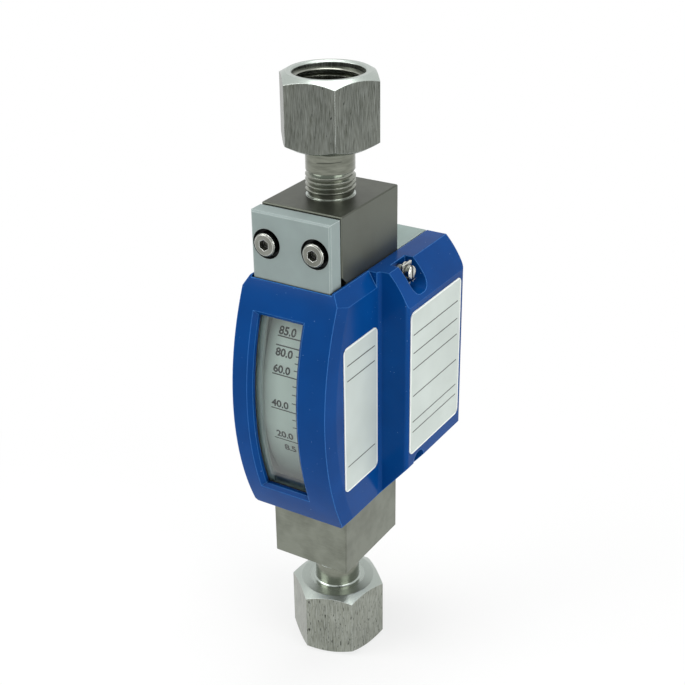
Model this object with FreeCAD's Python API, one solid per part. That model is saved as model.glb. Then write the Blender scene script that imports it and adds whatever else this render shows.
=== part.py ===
import FreeCAD, Part
import math
import os

from FreeCAD import Vector

# Armoured rotameter: a stainless measuring block with a screwed adaptor at each end,
# and a pointer indicator under a blue hood. Millimetres, +Z is up and along the flow,
# the window faces -Y and the raised side of the hood faces +X. The origin lies on the
# flow axis, on the end face of the lower adaptor.

X_AXIS = Vector(1, 0, 0)
Y_AXIS = Vector(0, 1, 0)
Z_AXIS = Vector(0, 0, 1)

# ---- clearances ----
FIT_CLEARANCE = 0.05       # turned part in its bore
RUNNING_CLEARANCE = 0.03   # spindle in its bearing
BODY_CLEARANCE = 0.3       # parts that only pass each other

# ---- screwed adaptors ----
HEX_ACROSS_FLATS = 27.0
LOWER_HEX_LENGTH = 23.2
UPPER_HEX_LENGTH = 21.4
LOWER_HEX_TURN = 48.9      # degrees from -Y to the hexagon's nearest corner
UPPER_HEX_TURN = 37.8
HEX_CHAMFER_ANGLE = 30.0
PIPE_THREAD_R = 10.48      # half-inch pipe thread, cut to its major radius
PIPE_THREAD_DEPTH = 15.0
MOUTH_CHAMFER = 0.5
HEX_FACE_INSET = 1.3       # chamfer circle inside the flats
FLOW_BORE_R = 4.5
NECK_R = 7.3
NECK_LENGTH = 7.3
NECK_FILLET = 0.4
THREAD_ROOT_R = 6.7        # exposed thread, drawn at its root
STUB_R = 7.4               # thread engaged in the block, drawn at its major radius
STUB_LENGTH = 10.0
ADAPTOR_GAP = 15.0         # hexagon to block

# ---- measuring block ----
BLOCK_WIDTH = 27.0
BLOCK_DEPTH = 32.2
BLOCK_LENGTH = 121.4
BLOCK_EDGE = 0.3
BLOCK_STEP = 2.0           # front face set back behind the indicator
BLOCK_STEP_MARGIN = 0.4    # length of the set-back beyond the hood at each end
BLOCK_BORE_R = 6.2
SEAL_OUTER_R = 7.4
SEAL_INNER_R = 5.0
SEAL_THICKNESS = 0.8
BLOCK_BOTTOM = LOWER_HEX_LENGTH + ADAPTOR_GAP
BLOCK_TOP = BLOCK_BOTTOM + BLOCK_LENGTH
BLOCK_FRONT = -BLOCK_DEPTH / 2
BLOCK_BACK = BLOCK_DEPTH / 2

# ---- hood ----
WINDOW_HEIGHT = 58.0
WINDOW_END_MARGIN = 10.5   # window's end to the hood's end
HOOD_RISE = 21.7           # block's lower end to the hood
HOOD_BOTTOM = BLOCK_BOTTOM + HOOD_RISE
HOOD_HEIGHT = WINDOW_HEIGHT + 2 * WINDOW_END_MARGIN
HOOD_TOP = HOOD_BOTTOM + HOOD_HEIGHT
HOOD_MIDDLE = HOOD_BOTTOM + HOOD_HEIGHT / 2
HOOD_BEHIND_BLOCK = 18.3
HOOD_BACK = BLOCK_BACK + HOOD_BEHIND_BLOCK
HOOD_WALL = 1.8
FRONT_WALL = 2.5
FRONT_BOW_R = 88.0
FRONT_END_REACH = 0.8      # a taller window needs a deeper bow in front of the block
HOOD_BEFORE_BLOCK = WINDOW_HEIGHT / 4 + FRONT_END_REACH
FRONT_APEX = BLOCK_FRONT - HOOD_BEFORE_BLOCK
FRONT_CORNER_R = 0.8
PANEL_GAP = 3.7            # block's side to the recessed side panel
PANEL_X = BLOCK_WIDTH / 2 + PANEL_GAP
SIDE_STRIP_DEPTH = 4.9     # slanted strip between the front and the side panel
SIDE_STRIP_WIDTH = 0.9
FRONT_HALF_WIDTH = PANEL_X - SIDE_STRIP_WIDTH
TOP_BEVEL_WIDTH = 2.8
TOP_STRIP_X = PANEL_X - TOP_BEVEL_WIDTH
PANEL_TOP_DROP = 4.8
PANEL_BOTTOM_RISE = 2.0
RAISED_HEIGHT = 10.0
RAISED_X = PANEL_X + RAISED_HEIGHT
RAISED_TOP_WIDTH = 6.6     # bevel from the top to the raised side
RAISED_STRIP_X = RAISED_X - RAISED_TOP_WIDTH
RAISED_TOP_DROP = 10.2
RAISED_BULGE = 0.6
RAISED_BOTTOM_WIDTH = 11.7
RAISED_BOTTOM_X = RAISED_X - RAISED_BOTTOM_WIDTH
RAISED_BOTTOM_RISE = 14.1
RAISED_LENGTH = 36.1       # step to the hood's back
RAISED_FRONT = HOOD_BACK - RAISED_LENGTH
STEP_FOOT_R = 1.2
STEP_EDGE_R = 1.2
REAR_EDGE_R = 1.0
INNER_EDGE_R = 0.3         # smallest rounding inside the hood
SLOT_CLEARANCE = 0.3       # hood to block and base

# ---- window ----
WINDOW_WIDTH = 15.3
WINDOW_INSET = 3.7         # block's left side to the window's left edge
WINDOW_LEFT = WINDOW_INSET - BLOCK_WIDTH / 2
WINDOW_RIGHT = WINDOW_LEFT + WINDOW_WIDTH
WINDOW_CHAMFER = 1.3
PANE_MARGIN = 2.2
PANE_THICKNESS = 1.4
GASKET_THICKNESS = 0.4

# ---- pockets in the raised side ----
POCKET_SETBACK = 5.6       # step to the pocket
POCKET_FRONT = RAISED_FRONT + POCKET_SETBACK
POCKET_WIDTH = 8.9
POCKET_DEPTH = 8.6
POCKET_CORNER_R = 3.6
POCKET_INTO_SIDE = 9.4
POCKET_INNER_X = RAISED_X - POCKET_INTO_SIDE
NOTCH_SETBACK = 4.3
NOTCH_FRONT = RAISED_FRONT + NOTCH_SETBACK
NOTCH_WIDTH = 6.8
NOTCH_RISE = 2.9           # above the lower edge of the raised side
NOTCH_CORNER_R = 3.2

# ---- front plate ----
PLATE_SIDE_INSET = 0.1
PLATE_WIDTH = BLOCK_WIDTH - 2 * PLATE_SIDE_INSET
PLATE_THICKNESS = 5.2
PLATE_EDGE = 0.5
PLATE_BELOW_BLOCK_TOP = 0.5
PLATE_INTO_HOOD = 5.0
PLATE_GASKET = 0.7
PLATE_GASKET_INSET = 0.7
PLATE_SCREW_INSET = 5.2    # plate's side to the screw
PLATE_SCREW_PITCH = PLATE_WIDTH - 2 * PLATE_SCREW_INSET
PLATE_SCREW_DROP = 10.0
COUNTERBORE_R = 4.6
COUNTERBORE_DEPTH = 2.6
SCREW_R = 2.0
SCREW_HEAD_R = 3.5
SCREW_HEAD_HEIGHT = 4.0
SCREW_HEAD_CHAMFER = 0.4
SCREW_SOCKET_AF = 3.0
SCREW_SOCKET_DEPTH = 2.0
SCREW_HOLE_R = 2.25
SCREW_ENGAGEMENT = 8.0

# ---- pointer indicator ----
PIVOT_BEHIND_BLOCK = 9.4
PIVOT_Y = BLOCK_BACK + PIVOT_BEHIND_BLOCK
PIVOT_Z = HOOD_MIDDLE
SCALE_DEPTH = 5.6          # front of the hood to the scale
SCALE_APEX = FRONT_APEX + SCALE_DEPTH
SCALE_R = PIVOT_Y - SCALE_APEX
SCALE_THICKNESS = 0.6
SCALE_BEYOND_WINDOW = 1.7
SCALE_LEFT = WINDOW_LEFT - SCALE_BEYOND_WINDOW
SCALE_INSET = 2.1          # block's right side to the scale's right edge
SCALE_RIGHT = BLOCK_WIDTH / 2 - SCALE_INSET
SCALE_HALF_HEIGHT = WINDOW_HEIGHT / 2 + SCALE_BEYOND_WINDOW
CARRIER_WALL = 1.6
CARRIER_RIM = 1.0
CARRIER_RIM_WIDTH = 3.2
POINTER_REACH = 0.6        # tip in front of the scale
POINTER_THICKNESS = 0.3
POINTER_IN_WINDOW = 2.5    # tip to the window's right edge
POINTER_TIP_X = WINDOW_RIGHT - POINTER_IN_WINDOW
POINTER_LOW = 20.6         # tip below the pivot at rest
POINTER_HIGH = 23.8        # tip above the pivot at full flow
ARM_CLEARANCE = 0.5        # block's side to the pointer's arm
ARM_INNER_X = BLOCK_WIDTH / 2 + ARM_CLEARANCE
ARM_THICKNESS = 0.4
ARM_WIDTH = 3.0
TIP_HEIGHT = 1.2
TIP_POINT_LENGTH = 2.0
TIP_POINT_TAPER = 0.7
FOLLOWER_RADIUS = 20.5
FOLLOWER_R = 3.0
FOLLOWER_LENGTH = 3.0
TAIL_LENGTH = 4.2
COUNTERWEIGHT_R = 1.6
COUNTERWEIGHT_LENGTH = 2.4
HUB_R = 2.4
HUB_LENGTH = 2.0
HUB_SLEEVE_R = 1.4
HUB_END_GAP = 0.3
SPINDLE_R = 0.8
BUSH_R = 2.0
BUSH_LENGTH = 2.2
BRACKET_SPAN = 24.0
BRACKET_WIDTH = 7.0
BRACKET_SHEET = 1.2
BRACKET_REACH = 6.4
BRACKET_FOOT = 5.0
BRACKET_SCREW_R = 1.0
BRACKET_SCREW_HEAD_R = 1.9
BRACKET_SCREW_HEAD = 1.3
BRACKET_SCREW_LENGTH = 5.0
TIP_R = SCALE_R + POINTER_REACH
POINTER_REST = -math.degrees(math.asin(POINTER_LOW / TIP_R))

# ---- indicator base ----
BASE_SIDE_INSET = 0.1
BASE_HALF_WIDTH = BLOCK_WIDTH / 2 - BASE_SIDE_INSET
FLANGE_THICKNESS = 1.8
FLANGE_CLEARANCE = 0.2
BASE_SCREW_PITCH = 50.0
BASE_SCREW_ENGAGEMENT = 6.0
BASE_SCREW_SEAT = 9.0      # block's back to the seat of the screw head
HOOD_SCREW_R = 1.25
HOOD_SCREW_HEAD_R = 2.3
HOOD_SCREW_HEAD = 1.4
HOOD_SCREW_LENGTH = 7.0
HOOD_BOSS_R = 2.6
HOOD_BOSS_LENGTH = 10.0
HOOD_BOSS_RISE = 20.0
HOOD_BOSS_DROP = 13.0
HOOD_BOSS_INTO_WALL = 0.4
PAN_HEAD_CHAMFER = 0.35    # part of the head's height

# ---- float and flow passage ----
FLOAT_STROKE = FOLLOWER_RADIUS * (POINTER_LOW + POINTER_HIGH) / TIP_R
FLOAT_LENGTH = 22.0
FLOAT_R = 4.0
FLOAT_WAIST_R = 2.9
FLOAT_HEAD_LENGTH = 4.0
FLOAT_MIDDLE = PIVOT_Z - FOLLOWER_RADIUS * POINTER_LOW / TIP_R
FLOAT_BOTTOM = FLOAT_MIDDLE - FLOAT_LENGTH / 2
FLOAT_TOP = FLOAT_MIDDLE + FLOAT_LENGTH / 2
MAGNET_R = 1.8
MAGNET_LENGTH = 12.0
STOP_THICKNESS = 3.0
STOP_HOLE_R = 1.7
STOP_HOLE_RING_R = 3.6
STOP_HOLES = 3
STOP_GAP = 0.2             # left above the float at full stroke
CONE_LOWER_R = 4.4
CONE_UPPER_R = 5.4

# ---- labels ----
LABEL_THICKNESS = 0.25
LABEL_CORNER_R = 2.0
LARGE_LABEL_SETBACK = 1.3  # step to the label
LARGE_LABEL_FRONT = RAISED_FRONT + LARGE_LABEL_SETBACK
LARGE_LABEL_WIDTH = 32.4
LARGE_LABEL_TOP = 12.0     # below the hood's top
LARGE_LABEL_HEIGHT = 48.6
SMALL_LABEL_SETBACK = 1.3  # label to the step
SMALL_LABEL_WIDTH = 19.2
SMALL_LABEL_FRONT = RAISED_FRONT - SMALL_LABEL_SETBACK - SMALL_LABEL_WIDTH
SMALL_LABEL_TOP = 17.0
SMALL_LABEL_HEIGHT = 48.6

# ---- earth terminal in the upper pocket ----
EARTH_Y = POCKET_FRONT + POCKET_WIDTH / 2
EARTH_DROP = 3.0           # terminal axis below the hood's top
EARTH_BOSS_R = 1.9
EARTH_BOSS_LENGTH = 2.2
EARTH_WASHER_R = 2.9
EARTH_WASHER = 0.5
CLAMP_SIZE = 5.4
CLAMP_SHEET = 0.6
CLAMP_TAB = 2.2
CLAMP_TAB_WIDTH = 1.95
EARTH_SCREW_R = 1.25
EARTH_HEAD_R = 2.1
EARTH_HEAD = 1.9
EARTH_HEAD_CHAMFER = 0.3
EARTH_SLOT = 0.7
EARTH_SLOT_DEPTH = 0.9


def cylinder(radius, length, base, axis=Z_AXIS):
    return Part.makeCylinder(radius, length, base, axis)


def box(x_range, y_range, z_range):
    size = (x_range[1] - x_range[0], y_range[1] - y_range[0], z_range[1] - z_range[0])
    return Part.makeBox(*size, Vector(x_range[0], y_range[0], z_range[0]))


def closed_face(points):
    return Part.Face(Part.makePolygon(points + [points[0]]))


def polygon_prism(points, direction):
    return closed_face(points).extrude(direction)


def hexagon(across_flats, base, axis, turn=0.0):
    """Hexagon face centred on base, square to the axis, one corner at the turn angle."""
    radius = across_flats / math.sqrt(3)
    corners = []
    for index in range(6):
        angle = math.radians(turn + 60 * index)
        if axis == Z_AXIS:
            offset = Vector(radius * math.sin(angle), -radius * math.cos(angle), 0)
        elif axis == Y_AXIS:
            offset = Vector(radius * math.sin(angle), 0, radius * math.cos(angle))
        else:
            offset = Vector(0, radius * math.sin(angle), radius * math.cos(angle))
        corners.append(base + offset)
    return closed_face(corners)


def revolved(profile):
    """Turn a closed list of (radius, z) points about the flow axis."""
    points = [Vector(radius, 0, z) for radius, z in profile]
    return closed_face(points).revolve(Vector(0, 0, 0), Z_AXIS, 360)


def rounded_slot(width, height, radius, front, bottom, x_from, x_to):
    """Prism along X with a U outline: flat at the top, rounded at both lower corners."""
    back = front + width
    top = bottom + height
    low = bottom + radius
    diagonal = radius * (1 - math.sqrt(0.5))

    def at(y, z):
        return Vector(x_from, y, z)

    edges = [
        Part.LineSegment(at(front, top), at(front, low)).toShape(),
        Part.Arc(at(front, low), at(front + diagonal, bottom + diagonal),
                 at(front + radius, bottom)).toShape(),
        Part.LineSegment(at(front + radius, bottom), at(back - radius, bottom)).toShape(),
        Part.Arc(at(back - radius, bottom), at(back - diagonal, bottom + diagonal),
                 at(back, low)).toShape(),
        Part.LineSegment(at(back, low), at(back, top)).toShape(),
        Part.LineSegment(at(back, top), at(front, top)).toShape(),
    ]
    return Part.Face(Part.Wire(edges)).extrude(Vector(x_to - x_from, 0, 0))


def arc_band(inner_r, outer_r, half_angle, x_from, x_to):
    """Band bent about the pointer's pivot axis, on the window side."""
    def at(radius, degrees):
        angle = math.radians(degrees)
        return Vector(x_from, PIVOT_Y - radius * math.cos(angle), PIVOT_Z + radius * math.sin(angle))

    edges = [
        Part.Arc(at(outer_r, -half_angle), at(outer_r, 0), at(outer_r, half_angle)).toShape(),
        Part.LineSegment(at(outer_r, half_angle), at(inner_r, half_angle)).toShape(),
        Part.Arc(at(inner_r, half_angle), at(inner_r, 0), at(inner_r, -half_angle)).toShape(),
        Part.LineSegment(at(inner_r, -half_angle), at(outer_r, -half_angle)).toShape(),
    ]
    return Part.Face(Part.Wire(edges)).extrude(Vector(x_to - x_from, 0, 0))


# ---------------------------------------------------------------- flow parts

def adaptor(hex_length, hex_turn):
    """Adaptor standing on its hexagon's mouth at z = 0, with its stub pointing up."""
    corner_r = HEX_ACROSS_FLATS / math.sqrt(3)
    face_r = HEX_ACROSS_FLATS / 2 - HEX_FACE_INSET
    drop = (corner_r - face_r) * math.tan(math.radians(HEX_CHAMFER_ANGLE))
    blank = hexagon(HEX_ACROSS_FLATS, Vector(0, 0, 0), Z_AXIS, hex_turn).extrude(
        Vector(0, 0, hex_length))
    envelope = revolved([(0, 0), (face_r, 0), (corner_r, drop), (corner_r, hex_length - drop),
                         (face_r, hex_length), (0, hex_length)])
    body = blank.common(envelope)
    neck_top = hex_length + NECK_LENGTH
    gap_top = hex_length + ADAPTOR_GAP
    stub_top = gap_top + STUB_LENGTH
    shank = revolved([
        (0, hex_length - 1),
        (NECK_R + NECK_FILLET, hex_length - 1),
        (NECK_R + NECK_FILLET, hex_length),
        (NECK_R, hex_length + NECK_FILLET),
        (NECK_R, neck_top),
        (THREAD_ROOT_R, neck_top + (NECK_R - THREAD_ROOT_R)),
        (THREAD_ROOT_R, gap_top),
        (STUB_R, gap_top),
        (STUB_R, stub_top),
        (0, stub_top),
    ])
    cavity = revolved([
        (0, -1),
        (PIPE_THREAD_R + MOUTH_CHAMFER + 1, -1),
        (PIPE_THREAD_R, MOUTH_CHAMFER),
        (PIPE_THREAD_R, PIPE_THREAD_DEPTH),
        (FLOW_BORE_R, PIPE_THREAD_DEPTH),
        (FLOW_BORE_R, stub_top + 1),
        (0, stub_top + 1),
    ])
    return body.fuse(shank).cut(cavity).removeSplitter()


def lower_adaptor():
    return adaptor(LOWER_HEX_LENGTH, LOWER_HEX_TURN)


def upper_adaptor():
    shape = adaptor(UPPER_HEX_LENGTH, -UPPER_HEX_TURN + 180)
    shape.rotate(Vector(0, 0, 0), X_AXIS, 180)
    shape.translate(Vector(0, 0, BLOCK_TOP + ADAPTOR_GAP + UPPER_HEX_LENGTH))
    return shape


def measuring_block():
    half = BLOCK_WIDTH / 2
    body = box((-half, half), (BLOCK_FRONT, BLOCK_BACK), (BLOCK_BOTTOM, BLOCK_TOP))
    body = body.makeChamfer(BLOCK_EDGE, body.Edges)
    step_top = HOOD_TOP + BLOCK_STEP_MARGIN
    step_bottom = HOOD_BOTTOM - BLOCK_STEP_MARGIN
    step = polygon_prism([
        Vector(-half - 1, BLOCK_FRONT - 1, step_top + BLOCK_STEP + 1),
        Vector(-half - 1, BLOCK_FRONT + BLOCK_STEP, step_top),
        Vector(-half - 1, BLOCK_FRONT + BLOCK_STEP, step_bottom),
        Vector(-half - 1, BLOCK_FRONT - 1, step_bottom - BLOCK_STEP - 1),
    ], Vector(BLOCK_WIDTH + 2, 0, 0))
    body = body.cut(step)
    body = body.cut(cylinder(BLOCK_BORE_R, BLOCK_LENGTH, Vector(0, 0, BLOCK_BOTTOM)))
    port_depth = STUB_LENGTH + SEAL_THICKNESS
    for start in (BLOCK_BOTTOM, BLOCK_TOP - port_depth):
        body = body.cut(cylinder(STUB_R + FIT_CLEARANCE, port_depth, Vector(0, 0, start)))
    for x in plate_screw_places():
        hole = cylinder(SCREW_R, SCREW_ENGAGEMENT + 1, Vector(x, BLOCK_FRONT, plate_screw_z()), Y_AXIS)
        body = body.cut(hole)
    for z in base_screw_heights():
        hole = cylinder(SCREW_R, BASE_SCREW_ENGAGEMENT + 1, Vector(0, BLOCK_BACK, z), -Y_AXIS)
        body = body.cut(hole)
    return body.removeSplitter()


def seal_ring(bottom):
    outer = cylinder(SEAL_OUTER_R, SEAL_THICKNESS, Vector(0, 0, bottom))
    return outer.cut(cylinder(SEAL_INNER_R, SEAL_THICKNESS, Vector(0, 0, bottom)))


def lower_seal():
    return seal_ring(BLOCK_BOTTOM + STUB_LENGTH)


def upper_seal():
    return seal_ring(BLOCK_TOP - STUB_LENGTH - SEAL_THICKNESS)


def float_stop(bottom):
    radius = BLOCK_BORE_R - FIT_CLEARANCE
    body = cylinder(radius, STOP_THICKNESS, Vector(0, 0, bottom))
    for index in range(STOP_HOLES):
        angle = 2 * math.pi * index / STOP_HOLES
        centre = Vector(STOP_HOLE_RING_R * math.cos(angle), STOP_HOLE_RING_R * math.sin(angle), bottom)
        body = body.cut(cylinder(STOP_HOLE_R, STOP_THICKNESS, centre))
    return body


def lower_stop():
    return float_stop(FLOAT_BOTTOM - STOP_THICKNESS)


def upper_stop():
    return float_stop(FLOAT_TOP + FLOAT_STROKE + STOP_GAP)


def measuring_cone():
    radius = BLOCK_BORE_R - FIT_CLEARANCE
    top = FLOAT_TOP + FLOAT_STROKE + STOP_GAP
    return revolved([(CONE_LOWER_R, FLOAT_BOTTOM), (radius, FLOAT_BOTTOM), (radius, top),
                     (CONE_UPPER_R, top)])


def float_body():
    head = FLOAT_HEAD_LENGTH
    slope = FLOAT_R - FLOAT_WAIST_R
    body = revolved([
        (0, FLOAT_BOTTOM),
        (FLOAT_WAIST_R, FLOAT_BOTTOM),
        (FLOAT_R, FLOAT_BOTTOM + slope),
        (FLOAT_R, FLOAT_BOTTOM + head),
        (FLOAT_WAIST_R, FLOAT_BOTTOM + head),
        (FLOAT_WAIST_R, FLOAT_TOP - head),
        (FLOAT_R, FLOAT_TOP - head),
        (FLOAT_R, FLOAT_TOP - slope),
        (FLOAT_WAIST_R, FLOAT_TOP),
        (0, FLOAT_TOP),
    ])
    return body.cut(cylinder(MAGNET_R, MAGNET_LENGTH, Vector(0, 0, FLOAT_MIDDLE - MAGNET_LENGTH / 2)))


def float_magnet():
    return cylinder(MAGNET_R, MAGNET_LENGTH, Vector(0, 0, FLOAT_MIDDLE - MAGNET_LENGTH / 2))


# ---------------------------------------------------------------- front plate

def plate_screw_places():
    return (-PLATE_SCREW_PITCH / 2, PLATE_SCREW_PITCH / 2)


def plate_screw_z():
    return BLOCK_TOP - PLATE_SCREW_DROP


def plate_back():
    return BLOCK_FRONT - PLATE_GASKET


def plate_front():
    return plate_back() - PLATE_THICKNESS


def front_plate():
    half = PLATE_WIDTH / 2
    top = BLOCK_TOP - PLATE_BELOW_BLOCK_TOP
    bottom = HOOD_TOP - PLATE_INTO_HOOD
    body = box((-half, half), (plate_front(), plate_back()), (bottom, top))
    front_edges = [edge for edge in body.Edges
                   if edge.BoundBox.YMax < plate_front() + 0.01]
    body = body.makeChamfer(PLATE_EDGE, front_edges)
    for x in plate_screw_places():
        centre = Vector(x, plate_front(), plate_screw_z())
        body = body.cut(cylinder(SCREW_HOLE_R, PLATE_THICKNESS, centre, Y_AXIS))
        body = body.cut(cylinder(COUNTERBORE_R, COUNTERBORE_DEPTH, centre, Y_AXIS))
    return body


def plate_gasket():
    half = PLATE_WIDTH / 2 - PLATE_GASKET_INSET
    top = BLOCK_TOP - PLATE_BELOW_BLOCK_TOP - PLATE_GASKET_INSET
    bottom = HOOD_TOP + BLOCK_STEP + PLATE_GASKET_INSET
    body = box((-half, half), (plate_back(), BLOCK_FRONT), (bottom, top))
    for x in plate_screw_places():
        centre = Vector(x, plate_back(), plate_screw_z())
        body = body.cut(cylinder(SCREW_HOLE_R, PLATE_GASKET, centre, Y_AXIS))
    return body


def cap_screw(seat, direction, length):
    """Socket head cap screw: the head's seat at a point, its shank along the direction."""
    shank = cylinder(SCREW_R - FIT_CLEARANCE, length, seat, direction)
    head = cylinder(SCREW_HEAD_R, SCREW_HEAD_HEIGHT, seat, -direction)
    rim = [edge for edge in head.Edges
           if (edge.CenterOfMass - seat).dot(-direction) > SCREW_HEAD_HEIGHT - 0.01]
    head = head.makeChamfer(SCREW_HEAD_CHAMFER, rim)
    socket_base = seat - direction * (SCREW_HEAD_HEIGHT - SCREW_SOCKET_DEPTH)
    socket = hexagon(SCREW_SOCKET_AF, socket_base, Y_AXIS).extrude(-direction * SCREW_SOCKET_DEPTH)
    return shank.fuse(head).cut(socket)


def plate_screw(index):
    seat = Vector(plate_screw_places()[index], plate_front() + COUNTERBORE_DEPTH, plate_screw_z())
    length = PLATE_THICKNESS - COUNTERBORE_DEPTH + PLATE_GASKET + SCREW_ENGAGEMENT
    return cap_screw(seat, Y_AXIS, length)


def plate_screw_left():
    return plate_screw(0)


def plate_screw_right():
    return plate_screw(1)


# ---------------------------------------------------------------- hood

def hood_side_wire(x, front_inset, inset, back, strip=0.0):
    """Outline of the hood seen from the side, at one X, with its bowed front."""
    radius = FRONT_BOW_R - front_inset - strip
    centre_y = FRONT_APEX + FRONT_BOW_R
    top = HOOD_TOP - inset
    corner = FRONT_CORNER_R
    rise = top - corner - HOOD_MIDDLE
    corner_y = centre_y - math.sqrt((radius - corner) ** 2 - rise ** 2)
    spread = math.atan2(rise, centre_y - corner_y)

    def at(y, z):
        return Vector(x, y, z)

    def bow(angle):
        return at(centre_y - radius * math.cos(angle), HOOD_MIDDLE + radius * math.sin(angle))

    def corner_point(sign, angle):
        return at(corner_y - corner * math.cos(angle),
                  HOOD_MIDDLE + sign * (rise + corner * math.sin(angle)))

    middle = (spread + math.pi / 2) / 2
    high = corner_point(1, math.pi / 2)
    low = corner_point(-1, math.pi / 2)
    edges = [
        Part.Arc(bow(-spread), bow(0), bow(spread)).toShape(),
        Part.Arc(bow(spread), corner_point(1, middle), high).toShape(),
        Part.LineSegment(high, at(back, high.z)).toShape(),
        Part.LineSegment(at(back, high.z), at(back, low.z)).toShape(),
        Part.LineSegment(at(back, low.z), low).toShape(),
        Part.Arc(low, corner_point(-1, middle), bow(-spread)).toShape(),
    ]
    return Part.Wire(edges)


def hood_core(front_inset, inset, back):
    """Narrow part of the hood: bowed front, slanted side strips, bevelled edges."""
    front_x = FRONT_HALF_WIDTH - inset
    side_x = PANEL_X - inset
    sections = []
    for x, strip in ((-side_x, SIDE_STRIP_DEPTH), (-front_x, 0.0),
                     (front_x, 0.0), (side_x, SIDE_STRIP_DEPTH)):
        sections.append(hood_side_wire(x, front_inset, inset, back, strip))
    body = Part.makeLoft(sections, True, True)
    top = HOOD_TOP - inset
    bottom = HOOD_BOTTOM + inset
    strip_x = TOP_STRIP_X - inset * 0.5
    shoulder = top - PANEL_TOP_DROP + inset * 0.5
    foot = bottom + PANEL_BOTTOM_RISE - inset * 0.4
    foot_x = side_x - PANEL_BOTTOM_RISE + inset * 0.4
    start = FRONT_APEX - 5
    outline = []
    for x, z in ((strip_x, top + 1), (strip_x, top), (side_x, shoulder), (side_x, foot),
                 (foot_x, bottom), (foot_x, bottom - 1)):
        outline.append((x, z))
    mirrored = [(-x, z) for x, z in reversed(outline)]
    points = [Vector(x, start, z) for x, z in outline + mirrored]
    envelope = polygon_prism(points, Vector(0, back - start, 0))
    return body.common(envelope)


def raised_section(inset, start, length):
    """Prism along Y with the raised side's section: bulged top bevel, long lower bevel."""
    turn = math.tan(math.radians(22.5))
    top = HOOD_TOP - inset
    bottom = HOOD_BOTTOM + inset
    side = RAISED_X - inset
    strip = Vector(RAISED_STRIP_X - inset * turn, start, top)
    shoulder = Vector(side, start, HOOD_TOP - RAISED_TOP_DROP - inset * turn)
    chord = shoulder - strip
    outward = Vector(-chord.z, 0, chord.x).normalize()
    if outward.x < 0:
        outward = -outward
    crown = (strip + shoulder) * 0.5 + outward * RAISED_BULGE
    hip = Vector(side, start, HOOD_BOTTOM + RAISED_BOTTOM_RISE + inset * turn)
    foot = Vector(RAISED_BOTTOM_X - inset * turn, start, bottom)
    corners = [Vector(0, start, top), strip, shoulder, hip, foot, Vector(0, start, bottom)]
    edges = [
        Part.LineSegment(corners[0], strip).toShape(),
        Part.Arc(strip, crown, shoulder).toShape(),
        Part.LineSegment(shoulder, hip).toShape(),
        Part.LineSegment(hip, foot).toShape(),
        Part.LineSegment(foot, corners[5]).toShape(),
        Part.LineSegment(corners[5], corners[0]).toShape(),
    ]
    return Part.Face(Part.Wire(edges)).extrude(Vector(0, length, 0))


def raised_plan(inset, back):
    """Prism along Z with the raised side's plan: filleted foot, rounded edges."""
    side = RAISED_X - inset
    panel = PANEL_X - inset
    front = RAISED_FRONT + inset
    foot_r = STEP_FOOT_R + inset
    edge_r = max(STEP_EDGE_R - inset, INNER_EDGE_R)
    rear_r = max(REAR_EDGE_R - inset, INNER_EDGE_R)
    half = math.sqrt(0.5)
    start_z = HOOD_BOTTOM - 5

    def at(x, y):
        return Vector(x, y, start_z)

    foot_centre = (panel + foot_r, front - foot_r)
    edge_centre = (side - edge_r, front + edge_r)
    rear_centre = (side - rear_r, back - rear_r)
    a = at(0, front - foot_r)
    b = at(panel, front - foot_r)
    c = at(panel + foot_r, front)
    d = at(side - edge_r, front)
    e = at(side, front + edge_r)
    f = at(side, back - rear_r)
    g = at(side - rear_r, back)
    h = at(0, back)
    edges = [
        Part.LineSegment(a, b).toShape(),
        Part.Arc(b, at(foot_centre[0] - foot_r * half, foot_centre[1] + foot_r * half), c).toShape(),
        Part.LineSegment(c, d).toShape(),
        Part.Arc(d, at(edge_centre[0] + edge_r * half, edge_centre[1] - edge_r * half), e).toShape(),
        Part.LineSegment(e, f).toShape(),
        Part.Arc(f, at(rear_centre[0] + rear_r * half, rear_centre[1] + rear_r * half), g).toShape(),
        Part.LineSegment(g, h).toShape(),
        Part.LineSegment(h, a).toShape(),
    ]
    return Part.Face(Part.Wire(edges)).extrude(Vector(0, 0, HOOD_HEIGHT + 10))


def hood_form(front_inset, inset, back):
    """Outer form of the hood, or its hollow when inset by the wall."""
    raised = raised_section(inset, FRONT_APEX, back - FRONT_APEX).common(raised_plan(inset, back))
    mirrored = raised.mirror(Vector(0, 0, 0), X_AXIS)
    return hood_core(front_inset, inset, back).fuse(raised).fuse(mirrored).removeSplitter()


def bowed_plate(near, far, x_range, half_height):
    """Plate between two depths behind the bowed front face."""
    centre_y = FRONT_APEX + FRONT_BOW_R
    outer = cylinder(FRONT_BOW_R - near, x_range[1] - x_range[0],
                     Vector(x_range[0], centre_y, HOOD_MIDDLE), X_AXIS)
    inner = cylinder(FRONT_BOW_R - far, x_range[1] - x_range[0],
                     Vector(x_range[0], centre_y, HOOD_MIDDLE), X_AXIS)
    window = box(x_range, (FRONT_APEX - 1, 0),
                 (HOOD_MIDDLE - half_height, HOOD_MIDDLE + half_height))
    return outer.cut(inner).common(window)


def window_cut():
    """Window opening through the front wall."""
    half = WINDOW_HEIGHT / 2
    x_range = (WINDOW_LEFT, WINDOW_RIGHT)
    return box(x_range, (FRONT_APEX - 1, BLOCK_FRONT - 1), (HOOD_MIDDLE - half, HOOD_MIDDLE + half))


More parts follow.
